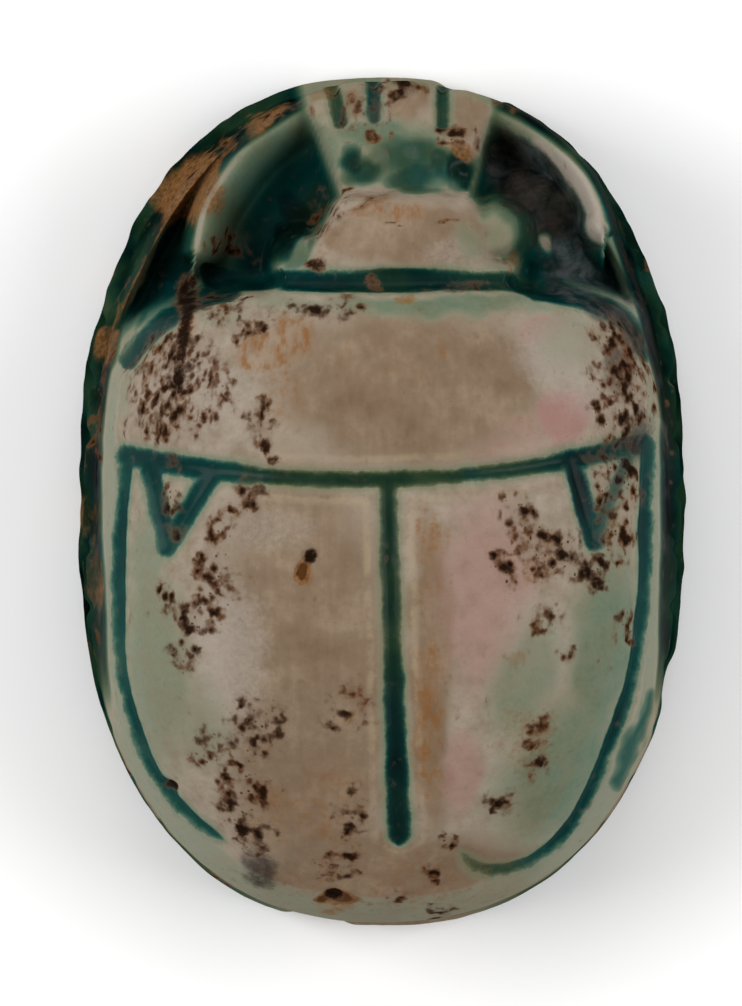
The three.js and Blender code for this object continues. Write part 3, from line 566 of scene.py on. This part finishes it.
BLUE_GLAZE = [
    (3.8, 4.8, 1, 0.6, 1.3, -10), (-2.2, 6.5, 0.9, 1.2, 1, -30), (-2.3, 4.6, 1.5, 0.4, 0.8),
    (3.3, 7, 0.5, 0.9, 0.9, 40), (4.6, 5.2, 1.2, 1.5, 0.8),
]


def patches(x, y, marks):
    """The strongest of several soft ovals at each place: a smooth step of the distance from an
    oval's middle, in its own half sizes."""
    result = np.zeros_like(x)
    for mark_x, mark_y, half_across, half_along, strength, *turn in marks:
        angle = math.radians(turn[0]) if turn else 0
        c, s = math.cos(angle), math.sin(angle)
        across = ((x - mark_x) * c + (y - mark_y) * s) / half_across
        along = ((y - mark_y) * c - (x - mark_x) * s) / half_along
        result = most(result, strength * fade(0.4, 1.45, np.hypot(across, along)))
    return result


# Carving in the dense surface
def line(points, width, depth, dark, blue, rubbed=0.0, end=1.0):
    """A cut line: its points, its width at the start and the end, its depth, how dark and how blue its
    glaze is, how strong the pale band along its edges is (wear and a painted highlight), and where it
    starts to run out."""
    return {
        "points": points, "width": width, "depth": depth,
        "dark": dark, "blue": blue, "rubbed": rubbed, "end": end,
    }


THORAX_LINE = [(x, 0.05 + 0.1 * x * x + 0.015 * x) for x in np.linspace(-0.84, 0.86, 9)]
LINES = [
    line(curve(SUTURE[:3]), (0.34, 0.38), 0.1, 0.68, 0.2, rubbed=1),
    line(curve(SUTURE[2:]), (0.38, 0.48), 0.12, 0.8, 0.6, rubbed=0.7, end=0.88),
    line(curve(THORAX_LINE[:3]), (0.42, 0.38), 0.1, 0.7, 0.8),
    line(curve(THORAX_LINE[2:6]), (0.32, 0.28), 0.09, 0.66, 0.1, rubbed=0.8),
    line(curve(THORAX_LINE[5:]), (0.3, 0.38), 0.1, 0.7, 0.5, rubbed=0.4),
    line(curve(MARGIN_LINE["left"]), (0.25, 0.24), 0.1, 0.66, 0.9, end=0.8),
    line(curve(MARGIN_LINE["right"][:9]), (0.3, 0.22), 0.1, 0.7, 1),
    line(curve(MARGIN_LINE["right"][8:]), (0.24, 0.22), 0.07, 0.52, 0.3, end=0.5),
    line(straight(SHOULDER_MARK["left"]), (0.4, 0.42), 0.1, 0.68, 0.9),
    line(straight(SHOULDER_MARK["right"][:2]), (0.36, 0.44), 0.11, 0.85, 0.8),
    line(straight(SHOULDER_MARK["right"][1:]), (0.3, 0.22), 0.07, 0.55, 0.9),
    line(curve(SHOULDER_RIM["left"]), (0.5, 0.4), 0.11, 0.7, 0.75, end=0.88),
    line(curve(SHOULDER_RIM["right"]), (0.5, 0.4), 0.1, 0.66, 0.8, end=0.75),
    line(curve(NECK_LINE), (0.4, 0.36), 0.16, 0.74, 0.5),
    *[line(straight(places), (0.3, 0.3), 0.16, 0.62, 0.5) for places in HEAD_NOTCHES],
]


# What the tones are far from any line, and how little that counts near one
PLAIN_TONES = {"dark": 0.6, "blue": 0.5, "rubbed": 0}
PLAIN_WEIGHT = 0.001


def carve(x, y):
    """For places in millimetres: how deep the lines are, how far it is to the edge of the nearest one
    (less than 0 inside it), and how dark and blue its glaze is and how strong the pale band along its
    edges is, which is wear and a painted highlight. A line is a rounded channel with a shallow slope on
    either side."""
    depth = np.zeros_like(x)
    off = np.ones_like(x)
    total = np.full_like(x, PLAIN_WEIGHT)
    tones = {name: np.full_like(x, PLAIN_WEIGHT * tone) for name, tone in PLAIN_TONES.items()}
    wobble = 0.02 * noise(x, y, 0, 0.6, 21)
    for cut in LINES:
        distance, at, _ = nearest(cut["points"], x, y)
        left = fade(cut["end"], 1.02, at) if cut["end"] < 1 else 1
        half = mix(*cut["width"], at) / 2
        d = distance + wobble
        channel = fade(0.1, 1.2, d / half)
        slope = 1 - np.clip((d - half) / SHOULDER_REACH, 0, 1)
        depth = most(depth, (cut["depth"] * channel + SHOULDER_DEPTH * slope) * left)
        edge = d - half * mix(0.4, 1, left) + 0.5 * (1 - left) ** 2
        off = np.minimum(off, edge)
        near = fade(-0.15, 0.45, edge) ** 2
        total = total + near
        for name in tones:
            tones[name] = tones[name] + near * cut[name]
    return depth, off, {name: value / total for name, value in tones.items()}


def leg_relief(along, up):
    """Legs stand out of the side within half their thickness of their runs, with strokes cut
    across them at an even pitch."""
    relief = np.zeros_like(along)
    for run in SIDE_LEGS:
        points = np.array(run) * (HALF_ROUND, SIDE_HEIGHT)
        distance = nearest(points, along * HALF_ROUND, up * SIDE_HEIGHT)[0]
        relief = most(relief, fade(0.5, 1, distance / (LEG_THICKNESS / 2)))
    place = (along - HATCHED[0]) * HALF_ROUND / HATCH_PITCH
    from_stroke = np.abs(place - np.round(place)) * HATCH_PITCH
    hatched = (place > -0.3) * (along < HATCHED[1])
    stroke = fade(0.2, 1, from_stroke / (HATCH_WIDTH / 2)) * hatched
    return relief, stroke


def drift(points, seed):
    """How far a mark's place moves, in millimetres, so that no mark has a drawn edge: coarse
    noise and a little fine noise."""
    return 0.16 * noise(*points, 0.7, seed) + 0.07 * noise(*points, 0.25, seed + 1)


def foreleg_glaze(px, py, pool, room):
    """The glaze over the forelegs, and the band along their crests, worn pale and lightened further as
    a painted highlight. The glaze is pale on a leg, and gets as deep as the pool around it further in,
    and within a short step further out."""
    crest = np.zeros_like(px)
    for hand in FORELEGS:
        distance, at, side = nearest(FORELEGS[hand], px, py)
        half = FORELEG_CREST_HALF[hand]
        inward = distance * np.where(side == INNER_SIDE[hand], 1, -1)
        on_leg = np.where(
            inward > 0,
            mix(0.22, 0.66, smooth(half, FORELEG_PALE_REACH[hand], inward)),
            mix(0.3, 0.85, smooth(0, 0.2, -inward)),
        )
        # The band along the crest: worn pale and painted brighter as a highlight.
        band = fade(0.5 * half, 1.5 * half, np.abs(inward - FORELEG_BAND[hand]))
        band = band * room * FORELEG_WEAR_AND_HIGHLIGHT[hand] * smooth(-0.1, 0.75, at)
        pool = mix(pool, np.minimum(pool, on_leg), fade(0.8, 1.2, distance) * room)
        pool = pool * (1 - 0.8 * np.minimum(1, band))
        crest = most(crest, band)
    return pool, crest


def beetle_sheet():
    """The carved beetle as a sheet of points, and the finishes at each of them."""
    x, y, down = sheet_places()
    points, up = sheet_points(x, y, down)
    px, py, pz = points[..., 0], points[..., 1], points[..., 2]
    on_top = fade(0, 0.12, down)
    rim = rim_share(x, y)
    share_x, share_y = x * rim, y * rim
    body = body_mask(share_x, share_y)
    head = 1 - body
    along = along_side(x, y)

    wx = px + drift((px, py, pz), 31)
    wy = py + drift((px, py, pz), 33)

    def marked(marks):
        return patches(wx, wy, marks)

    depth, off, tones = carve(px, py)
    clypeus, crown, neck = [plate_mask(plate, share_x, share_y) for plate in (CLYPEUS, CROWN, NECK)]
    plates = most(clypeus, crown, neck)
    off = mix(1, off, most(on_top, clypeus * fade(0.5, 0.7, down)))

    # Glaze that pools in the hollows of the head and lies thin on its legs and plates
    level = (pz - BASE_THICKNESS) / RISE
    room = head * (1 - plates)
    pool = mix(0.76, 0.62, smooth(0.2, 0.5, level)) * room
    pool = most(pool, marked(DEEP_HOLLOW) * (1 - plates))
    pool, crest = foreleg_glaze(px, py, pool, room)
    ridge_distance = nearest(curve(SIDE_RIDGE), np.abs(wx), wy)[0]
    ridge = fade(0.06, 0.2, ridge_distance) * head
    pool = pool * (1 - 0.7 * ridge) * (1 - 0.85 * marked(PALE_COLLAR))
    crest_distance, crest_at, _ = nearest(curve(SHOULDER_CREST), px, py)
    shoulder = fade(0.02, 0.16, crest_distance) * mix(0.35, 1, crest_at) * (px > 0)
    crest = most(crest, shoulder)
    pool = pool * (1 - shoulder)
    glaze = most(pool, marked(THIN_GLAZE), marked(GREEN_HOLLOW) * clypeus) * on_top
    blue = most(tones["blue"], marked(BLUE_GLAZE))

    # The sides are green to black in short stretches, paler towards the tail
    relief, stroke = leg_relief(along, up)
    on_side = smooth(0, 0.08, down) * fade(SIDE_END, LEDGE_END, down)
    tailward = smooth(0.62, 0.7, along)
    to_edge = outline_radius(x, y)
    on_edge = most(smooth(0, 0.06, down), smooth(0.968, 0.99, to_edge) * (1 - tailward))
    legs = relief * on_side * (1 - 0.75 * smooth(0.56, 0.66, along))
    stretches = noise(along * HALF_ROUND, np.sign(px) * SIDES_APART, down * 2, 0.55, 41)
    side_glaze = 0.82 + 0.22 * stretches + 0.06 * noise(px, py, pz, 0.3, 42) - 0.1 * legs
    foot = smooth(SIDE_END, LEDGE_END, down) * fade(0.8, 0.95, along)
    side_glaze = side_glaze * (1 - mix(0.93, 0.4, foot) * tailward) * (1 - 0.8 * clypeus)
    glaze = mix(glaze, np.clip(side_glaze, 0, 1), on_edge)
    brown = smooth(0.1, 0.6, noise(along * HALF_ROUND, np.sign(px) * 5, down, 0.8, 43))
    brown = brown * (1 - tailward) * np.where(px < 0, 1, 0.3)
    side_crust = smooth(0.3, 0.6, noise(px, py, pz, 0.8, 44) + 0.3 * noise(px, py, pz, 0.25, 45))

    streak_distance, streak_at, _ = nearest(np.array(STREAK), mix(px, wx, 0.5), mix(py, wy, 0.5))
    streak_out = streak_distance / mix(0.2, 0.1, streak_at)
    streak = 0.9 * fade(0.3, 2.1, streak_out)
    on_head = marked(HEAD_STAINS)
    pit = patches(px + 0.3 * (wx - px), py + 0.3 * (wy - py), PIT_MARKS) * on_top
    black = most(streak, marked(LUMPS), 0.8 * on_head, pit) * on_top
    off_crest = 1 - 0.9 * np.minimum(1, crest)
    clear = off_crest * on_top
    soot = marked(SOOT) * clear * (1 - marked(BARE_SPOT))
    rust = marked(RUST) * off_crest
    rust = most(rust, 0.55 * brown * on_edge, 0.6 * on_head, 0.5 * ridge * np.where(px < 0, 1, 0.4))
    ochre = most(marked(OCHRE), 0.5 * fade(1, 2.2, streak_out)) * on_top
    long_specks = marked(SPECKS_LONG) * clear
    specks = most(marked(SPECKS_ROUND) * clear, 0.85 * long_specks)
    specks = specks + 0.5 * side_crust * on_edge

    # Wear on the crest that runs round the back at its edge
    rim_wear = smooth(0.925, 0.945, to_edge) * (1 - on_edge) * body
    second = nearest(np.array(SECOND_BAND), wx, wy)[0]
    glaze = most(glaze * (1 - 0.8 * rim_wear), 0.15 * rim_wear)
    glaze = most(glaze, 0.5 * fade(0.02, 0.3, second) * (1 - on_edge))
    # Lighter places: a painted sheen where the soft lights would reflect, the crests' bands that are
    # worn and painted as highlights, the pale side ridges and the worn rim.
    white = most(marked(SHEEN_AND_PALE_MARKS), crest, 0.55 * ridge, 0.55 * rim_wear)

    # Relief: carved lines, legs, hand-cut waviness, pits and crusts
    waves = sum(height * noise(px, py, pz, size, seed) for height, size, seed in SKIN_WAVES)
    crust = CRUST_HEIGHT * soot * (0.6 + noise(px, py, pz, 0.3, 64))
    shift = LEG_RELIEF * legs - HATCH_DEPTH * stroke * legs - depth * on_top
    shift = shift + fade(0.9, 0.98, down) * (waves + crust) - PIT_DEPTH * pit
    points = points + outward(points) * shift[..., None]
    points = eased(eased(points, 0.5), 0.5)

    finishes = {
        "line": off,
        "line dark": tones["dark"],
        "line rubbed": tones["rubbed"],
        "glaze": glaze,
        "blue": mix(blue, 0.35 + 0.3 * stretches, on_edge),
        "tan": most(marked(WORN_TO_TAN) * on_top, 0.8 * tailward * on_edge),
        "pink": marked(PINK) * on_top,
        "white": white * on_top,
        "top": on_top * (1 - 0.6 * room * (1 - np.minimum(1, crest))),
        "ochre": ochre,
        "rust": rust,
        "black": black,
        "specks": specks,
        "streaks": long_specks,
        "soot": soot,
    }
    return points, finishes


def underside_rings(x, y):
    """Rings from the edge of the underside to its middle, with a line cut around it. Each is an
    inset from the outline and a height, then shares of the last inset ring."""
    chip = chip_depth(x, y)
    b, w = BORDER_INSET, BORDER_HALF_WIDTH
    profile = [
        (b - 0.45, 0), (b - w, 0), (b - w / 2, 0.6), (b, 1), (b + w / 2, 0.6), (b + w, 0), (b + 0.6, 0),
    ]
    rings = []
    for inset, share in profile:
        rx, ry = outline_points(x, y, inset + 0.15 * chip)
        rings.append(np.stack([rx, ry, np.full_like(rx, BORDER_DEPTH * share)], axis=-1))
    for share in (0.62, 0.3):
        rings.append(rings[len(profile) - 1] * share)
    return rings


def store(mesh, name, values):
    """Keeps one value for each point of a mesh, for its material to read."""
    attribute = mesh.attributes.new(name, "FLOAT", "POINT")
    attribute.data.foreach_set("value", values.astype(np.float32))


def beetle_mesh():
    """Joins the sheet and the rings below it into one closed mesh."""
    points, finishes = beetle_sheet()
    rows, columns = points.shape[:2]
    index = np.arange(rows * columns).reshape(rows, columns)
    quads = np.stack([index[:-1, :-1], index[:-1, 1:], index[1:, 1:], index[1:, :-1]], axis=-1)
    loop = np.concatenate([index[0, :-1], index[:-1, -1], index[-1, :0:-1], index[:0:-1, 0]])

    x, y, _ = sheet_places()
    rings = underside_rings(x.ravel()[loop], y.ravel()[loop])
    count = len(loop)
    ids = [loop] + [index.size + i * count + np.arange(count) for i in range(len(rings))]
    walls = [np.stack([np.roll(a, -1), a, b, np.roll(b, -1)], axis=-1) for a, b in zip(ids, ids[1:])]
    middle = index.size + len(rings) * count
    fan = np.stack([np.roll(ids[-1], -1), ids[-1], np.full(count, middle)], axis=-1)

    all_points = np.vstack([points.reshape(-1, 3), *rings, [[0, 0, 0]]])
    faces = np.vstack([quads.reshape(-1, 4), *walls]).tolist() + fan.tolist()
    mesh = bpy.data.meshes.new("scarab of glazed stone")
    mesh.from_pydata((all_points * MM).tolist(), [], faces)

    below = len(all_points) - index.size
    lower = all_points[-below:]
    groove = fade(0.6, 1.6, np.abs(1 - lower[:, 2] / BORDER_DEPTH))
    below_finishes = {
        "line": np.ones(below),
        "glaze": most(0.7 * groove, 0.25 * smooth(0, 0.6, noise(*lower.T, 1.5, 71))),
        "tan": 0.5 + 0.5 * noise(*lower.T, 2.5, 72),
        "specks": 0.6 * smooth(0, 0.6, noise(*lower.T, 1.2, 73)),
        "blue": np.full(below, 0.5),
    }
    for name, values in finishes.items():
        store(mesh, name, np.concatenate([values.ravel(), below_finishes.get(name, np.zeros(below))]))
    return mesh


def placed(name, data):
    """An object in the scene, at the origin."""
    obj = bpy.data.objects.new(name, data)
    bpy.context.scene.collection.objects.link(obj)
    return obj


def rod_mesh(radius, half_length, x, z, sides):
    """A round rod along Y, as two rings joined by a wall and closed by two faces."""
    turn = np.arange(sides) * 2 * math.pi / sides
    ring = np.stack([x + radius * np.cos(turn), np.zeros(sides), z + radius * np.sin(turn)], axis=-1)
    points = np.vstack([ring - (0, half_length, 0), ring + (0, half_length, 0)])
    a = np.arange(sides)
    b = np.roll(a, -1)
    walls = np.stack([b, a, a + sides, b + sides], axis=-1).tolist()
    mesh = bpy.data.meshes.new("bore cutter")
    mesh.from_pydata((points * MM).tolist(), [], [*walls, a.tolist(), (a[::-1] + sides).tolist()])
    return mesh


def bored(obj):
    """Cuts the bore for the thread out of a closed piece."""
    x, z = BORE_X * HALF_WIDTH, BASE_THICKNESS + BORE_ABOVE_BASE + BORE_DIAMETER / 2
    rod = rod_mesh(BORE_DIAMETER / 2, HALF_LENGTH * 1.2, x, z, BORE_SIDES)
    cutter = placed("bore cutter", rod)
    cut = obj.modifiers.new("bore", "BOOLEAN")
    cut.operation = "DIFFERENCE"
    cut.solver = "MANIFOLD"
    cut.object = cutter
    view = bpy.context.evaluated_depsgraph_get()
    mesh = bpy.data.meshes.new_from_object(obj.evaluated_get(view))
    obj.modifiers.remove(cut)
    obj.data = mesh
    bpy.data.objects.remove(cutter)
    co = np.empty(len(mesh.vertices) * 3, np.float32)
    mesh.vertices.foreach_get("co", co)
    co = co.reshape(-1, 3) / MM
    past_wall = np.hypot(co[:, 0] - x, co[:, 2] - z) - BORE_DIAMETER / 2
    store(mesh, "bore", fade(0.02, 0.15, past_wall))
    return mesh


# Materials
GRAIN_DEPTH = 0.04 * MM
DRIFT = (0.09, 0.09, 0.09)


def colour(red, green, blue):
    """A colour for the shader from the values of a screen, 0 to 255."""
    share = [v / 255 for v in (red, green, blue)]
    return (*[v / 12.92 if v <= 0.04045 else ((v + 0.055) / 1.055) ** 2.4 for v in share], 1)


class Wire:
    """A value of the shader that takes part in sums."""

    def __init__(self, paint, socket):
        self.paint, self.socket = paint, socket

    def sum_with(self, operation, a, b):
        return self.paint.node("ShaderNodeMath", {"operation": operation}, {0: a, 1: b})

    def __add__(self, other):
        return self.sum_with("ADD", self, other)

    __radd__ = __add__

    def __sub__(self, other):
        return self.sum_with("SUBTRACT", self, other)

    def __rsub__(self, other):
        return self.sum_with("SUBTRACT", other, self)

    def __mul__(self, other):
        return self.sum_with("MULTIPLY", self, other)

    __rmul__ = __mul__


class Paint:
    """The node tree of one material."""

    def __init__(self, name):
        self.material = bpy.data.materials.new(name)
        self.material.use_nodes = True
        self.tree = self.material.node_tree
        self.tree.nodes.clear()

    def node(self, kind, settings, sockets, output=0):
        """A node of a kind, with its settings, and its sockets by name or number."""
        made = self.tree.nodes.new(kind)
        for name, value in settings.items():
            if name == "stops":
                self.set_stops(made.color_ramp, value)
            else:
                setattr(made, name, value)
        for key, value in sockets.items():
            if isinstance(value, Wire):
                self.tree.links.new(value.socket, made.inputs[key])
            else:
                made.inputs[key].default_value = value
        return Wire(self, made.outputs[output]) if len(made.outputs) else None

    def set_stops(self, ramp, stops):
        while len(ramp.elements) < len(stops):
            ramp.elements.new(0.5)
        for element, (position, *tone) in zip(ramp.elements, stops):
            element.position = position
            element.color = colour(*tone)

    def value(self, name):
        """One of the finishes that are kept on the mesh's points."""
        return self.node("ShaderNodeAttribute", {"attribute_name": name}, {}, "Fac")

    def noise(self, place, scale, detail, roughness=0.55):
        sockets = {"Vector": place, "Scale": scale, "Detail": detail, "Roughness": roughness}
        return self.node("ShaderNodeTexNoise", {}, sockets)

    def spots(self, place, scale):
        """Falls away from the middles of scattered round spots."""
        distance = self.node("ShaderNodeTexVoronoi", {}, {"Vector": place, "Scale": scale}, "Distance")
        return 0.62 - distance * 0.9

    def stretched(self, place, share):
        """Places squeezed along Y, so that what is drawn with them is longer that way."""
        return self.vector("MULTIPLY", place, (1, share, 1))

    def most(self, highest, *others):
        for other in others:
            highest = self.node("ShaderNodeMath", {"operation": "MAXIMUM"}, {0: highest, 1: other})
        return highest

    def step(self, start, end, value):
        """A smooth step from 0 at the start to 1 at the end."""
        sockets = {"Value": value, "From Min": start, "From Max": end}
        return self.node("ShaderNodeMapRange", {"interpolation_type": "SMOOTHSTEP"}, sockets)

    def ramp(self, value, stops):
        """Colours along a value, each stop being its position and red, green and blue."""
        return self.node("ShaderNodeValToRGB", {"stops": stops}, {"Fac": value})

    def mix(self, factor, a, b):
        return self.node("ShaderNodeMix", {"data_type": "RGBA"}, {0: factor, 6: a, 7: b}, 2)

    def vector(self, operation, a, b):
        return self.node("ShaderNodeVectorMath", {"operation": operation}, {0: a, 1: b})

    def shaded(self, sockets):
        """The finished material, with these values in its shader."""
        shader = self.node("ShaderNodeBsdfPrincipled", {}, sockets)
        self.node("ShaderNodeOutputMaterial", {}, {"Surface": shader})
        return self.material


def glazed_stone():
    """Worn glaze on carved stone. The glaze darkens with its thickness from pale green to black green,
    over stone that is worn from cream to tan, with brown and black burial stains, a painted whitish
    sheen, and painted highlights on crests and along line edges."""
    p = Paint("worn glaze on carved stone")
    place = p.node("ShaderNodeTexCoord", {}, {}, "Object")
    place = p.vector("MULTIPLY", place, (1 / MM, 1 / MM, 1 / MM))
    broad = p.noise(place, 0.8, 4)
    patchy = p.noise(place, 2.6, 5, 0.6)
    fine = p.noise(place, 9, 4, 0.65)
    grain = p.noise(place, 26, 2)
    drips = p.noise(p.stretched(place, 0.28), 4.5, 4)
    fibres = p.noise(p.stretched(place, 0.12), 7, 3)
    uneven, rough = patchy - 0.5, fine - 0.5
    drift = p.node("ShaderNodeTexNoise", {}, {"Vector": place, "Scale": 7, "Detail": 1}, "Color")
    drifted = p.vector("ADD", place, p.vector("MULTIPLY", drift, DRIFT))
    blotches = p.noise(drifted, 3.7, 2, 0.4)
    tall_blotches = p.noise(p.stretched(drifted, 0.5), 4.8, 2, 0.4)
    dots = p.spots(drifted, 2.5)
    small_dots = p.spots(drifted, 6.5)
    tall_dots = p.spots(p.stretched(drifted, 0.5), 3.4)

    # The bare stone
    tan = p.step(0.25, 0.8, p.value("tan") + uneven * 0.9)
    stone = p.ramp(patchy, [(0.3, 126, 111, 93), (0.7, 151, 139, 124)])
    worn_stone = p.ramp(
        broad * 0.5 + patchy * 0.25 + fine * 0.1 + fibres * 0.15,
        [(0.36, 107, 88, 69), (0.5, 120, 102, 83), (0.64, 139, 121, 101)],
    )
    base = p.mix(tan, stone, worn_stone)
    pink = p.step(0.2, 1.2, p.value("pink") + uneven * 0.6)
    base = p.mix(pink * 0.8, base, colour(146, 108, 101))
    # A painted sheen and painted highlights, with some pale wear, lighten the stone to a whitish cream.
    white = p.step(0.1, 0.9, p.value("white") + rough * 0.6)
    base = p.mix(white * 0.65, base, colour(160, 152, 142))
    flecks = p.step(0.62, 0.74, drips) * p.step(0.5, 0.62, fine)
    base = p.mix(flecks * 0.4, base, colour(112, 84, 56))

    # Glaze in and beside the lines, from the distance to a line's edge in millimetres
    off = p.value("line") + rough * 0.06 + uneven * 0.14
    core = 1 - p.step(-0.07, 0.08, off)
    deep = 1 - p.step(-0.16, -0.02, off)
    halo = 1 - p.step(0.03, 0.24, off)
    in_line = core * (p.value("line dark") - 0.06 + deep * 0.1 + (broad - 0.5) * 0.5)
    glaze = p.value("glaze") + uneven * 0.1 + rough * 0.06
    glaze = p.most(glaze, in_line, halo * 0.17)
    olive = p.ramp(glaze, [
        (0.12, 114, 116, 92), (0.28, 84, 90, 66), (0.48, 52, 64, 40),
        (0.64, 24, 46, 30), (0.8, 10, 28, 16), (0.95, 3, 9, 6),
    ])
    teal = p.ramp(glaze, [
        (0.12, 110, 124, 102), (0.28, 78, 100, 84), (0.48, 32, 74, 64),
        (0.64, 6, 54, 50), (0.8, 0, 36, 35), (0.95, 0, 11, 11),
    ])
    tint = p.step(0.1, 0.9, p.value("blue") + (broad - 0.5) * 1.2)
    surface = p.mix(p.step(0.02, 0.26, glaze), base, p.mix(tint, olive, teal))

    # Stains, wear and painted edge highlights, from the lowest layer to the highest
    # A pale band along each line's edge: worn stone and a painted highlight on the cut's edge.
    rubbed = p.step(0.16, 0.26, off) * (1 - p.step(0.3, 0.42, off)) * p.value("line rubbed")
    rubbed = rubbed * p.step(0.3, 0.6, patchy)
    ochre = p.step(0.2, 0.95, p.value("ochre") + rough * 1.4)
    ochre = ochre * (0.3 + 0.7 * p.step(0.42, 0.6, drips))
    rust = p.step(0.2, 0.8, p.value("rust") + uneven * 0.9)
    rust_tone = p.ramp(fine, [(0.35, 84, 54, 26), (0.65, 128, 90, 54)])
    deep_rust = p.step(1.25, 2, p.value("rust"))
    soot = p.step(0.2, 0.75, p.value("soot") + uneven * 0.8 + rough * 0.4)
    brown_crust = p.ramp(patchy, [(0.35, 20, 20, 20), (0.65, 56, 48, 43)])
    grey_crust = p.ramp(patchy, [(0.35, 24, 30, 32), (0.65, 74, 80, 80)])
    greyness = p.step(0.64, 1.0, broad + p.value("blue") * 0.45)
    crust = p.mix(greyness, brown_crust, grey_crust)
    round_ones, long_ones, black = [p.value(name) for name in ("specks", "streaks", "black")]
    specks = p.most(
        blotches + round_ones * 0.24,
        tall_blotches + long_ones * 0.25,
        dots + round_ones * 0.38,
        small_dots + round_ones * 0.3,
        tall_dots + long_ones * 0.4,
        0.38 + (black + rough * 0.6 + uneven * 0.8) * 0.55,
    )
    speckled = p.most(round_ones, long_ones)
    haze = p.step(0.3, 1.3, speckled + uneven * 1.2)
    stained = p.most(speckled, black)
    specks = (specks + rough * 0.1) * (0.86 + 0.14 * p.step(0.05, 0.5, stained))
    fringe = p.step(0.62, 0.8, specks) * (1 - core * 0.7)
    fringe_tone = p.ramp(broad, [(0.4, 108, 62, 24), (0.6, 86, 58, 40)])
    speck_tone = p.ramp(fine, [(0.35, 7, 5, 4), (0.7, 36, 22, 14)])
    pricks = p.step(0.67, 0.72, grain) * p.step(0.45, 0.6, patchy)

    layers = [
        (rubbed * 0.45, colour(158, 142, 116)),
        (ochre * 0.75, colour(122, 76, 26)),
        (rust * 0.85, rust_tone),
        (deep_rust * 0.85, colour(62, 34, 10)),
        (soot * 0.88, crust),
        (haze * 0.3, colour(104, 88, 72)),
        (p.step(0.54, 0.76, specks) * 0.35, colour(92, 78, 66)),
        (fringe * 0.7, fringe_tone),
        (p.step(0.67, 0.88, specks) * 0.97, speck_tone),
        (p.value("bore") * 0.7, colour(52, 44, 36)),
        (pricks * 0.45, colour(62, 42, 28)),
    ]
    for share, tone in layers:
        surface = p.mix(share, surface, tone)

    # Gloss and fine relief
    dull = p.step(0.1, 0.6, soot + fringe)
    roughness = 0.55 - 0.15 * p.step(0.1, 0.5, glaze) + dull * 0.2 + rough * 0.16
    height = patchy * 0.5 + fine * 0.35 + grain * 0.15
    gloss = (0.05 + 0.08 * p.step(0.1, 0.4, glaze)) * (1 - dull) * p.value("top")
    bump = {"Strength": 0.7, "Distance": GRAIN_DEPTH, "Height": height}
    normal = p.node("ShaderNodeBump", {}, bump)
    return p.shaded({
        "Base Color": surface, "Roughness": roughness, "Normal": normal, "Specular IOR Level": 0,
        "Coat Weight": gloss, "Coat Roughness": 0.28,
    })


def make_scarab():
    """The amulet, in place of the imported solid."""
    piece = placed("scarab_of_glazed_stone", beetle_mesh())
    mesh = bored(piece)
    mesh.materials.clear()
    mesh.materials.append(glazed_stone())
    mesh.shade_smooth()
    mesh.set_sharp_from_angle(angle=math.radians(60))
    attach(piece, "root")
    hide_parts("scarab")


# The stage
FLOOR_HALF = 1.5
FLOOR_PALENESS = 0.93
FRAME_HEIGHT = 20.74 * MM
FRAME_CENTRE = (-0.227 * MM, -0.031 * MM)
BASE_LEVEL = 1.2 * MM
LENS = 600
SENSOR = 36
LIGHTS = [
    ("left_light", (-0.17, 0.02, 0.15), 0.14, 0.34),
    ("right_light", (0.17, 0.0, 0.15), 0.14, 0.28),
    ("head_light", (0.0, 0.2, 0.14), 0.16, 0.12),
]


def make_floor():
    """A wide level square, at the height of the underside."""
    h = FLOOR_HALF
    mesh = bpy.data.meshes.new("pale floor")
    mesh.from_pydata([(-h, -h, 0), (h, -h, 0), (h, h, 0), (-h, h, 0)], [], [(0, 1, 2, 3)])
    finish = {"Base Color": (FLOOR_PALENESS, FLOOR_PALENESS, FLOOR_PALENESS, 1), "Roughness": 0.9}
    mesh.materials.append(Paint("pale floor").shaded(finish))
    placed("pale_floor", mesh)


def make_light(name, place, size, power):
    """A square soft light that faces the amulet."""
    light = bpy.data.lights.new(name, "AREA")
    light.shape = "SQUARE"
    light.size = size
    light.energy = power
    obj = placed(name, light)
    obj.location = place
    obj.rotation_euler = (-Vector(place)).to_track_quat("-Z", "Y").to_euler()


def make_lights():
    for light in LIGHTS:
        make_light(*light)
    world = bpy.data.worlds.new("pale room")
    world.use_nodes = True
    inputs = world.node_tree.nodes["Background"].inputs
    inputs["Color"].default_value = (1, 1, 1, 1)
    inputs["Strength"].default_value = 0.45
    bpy.context.scene.world = world


def make_camera():
    """Looks straight down through a long lens, from where its view is as high as the frame."""
    camera = bpy.data.cameras.new("camera")
    camera.lens = LENS
    camera.sensor_width = SENSOR
    camera.clip_start = 0.01
    camera.clip_end = 10
    obj = placed("camera", camera)
    obj.location = (*FRAME_CENTRE, BASE_LEVEL + FRAME_HEIGHT * LENS / SENSOR)
    bpy.context.scene.camera = obj


make_scarab()
make_floor()
make_lights()
make_camera()
bpy.context.scene.view_settings.view_transform = "Standard"
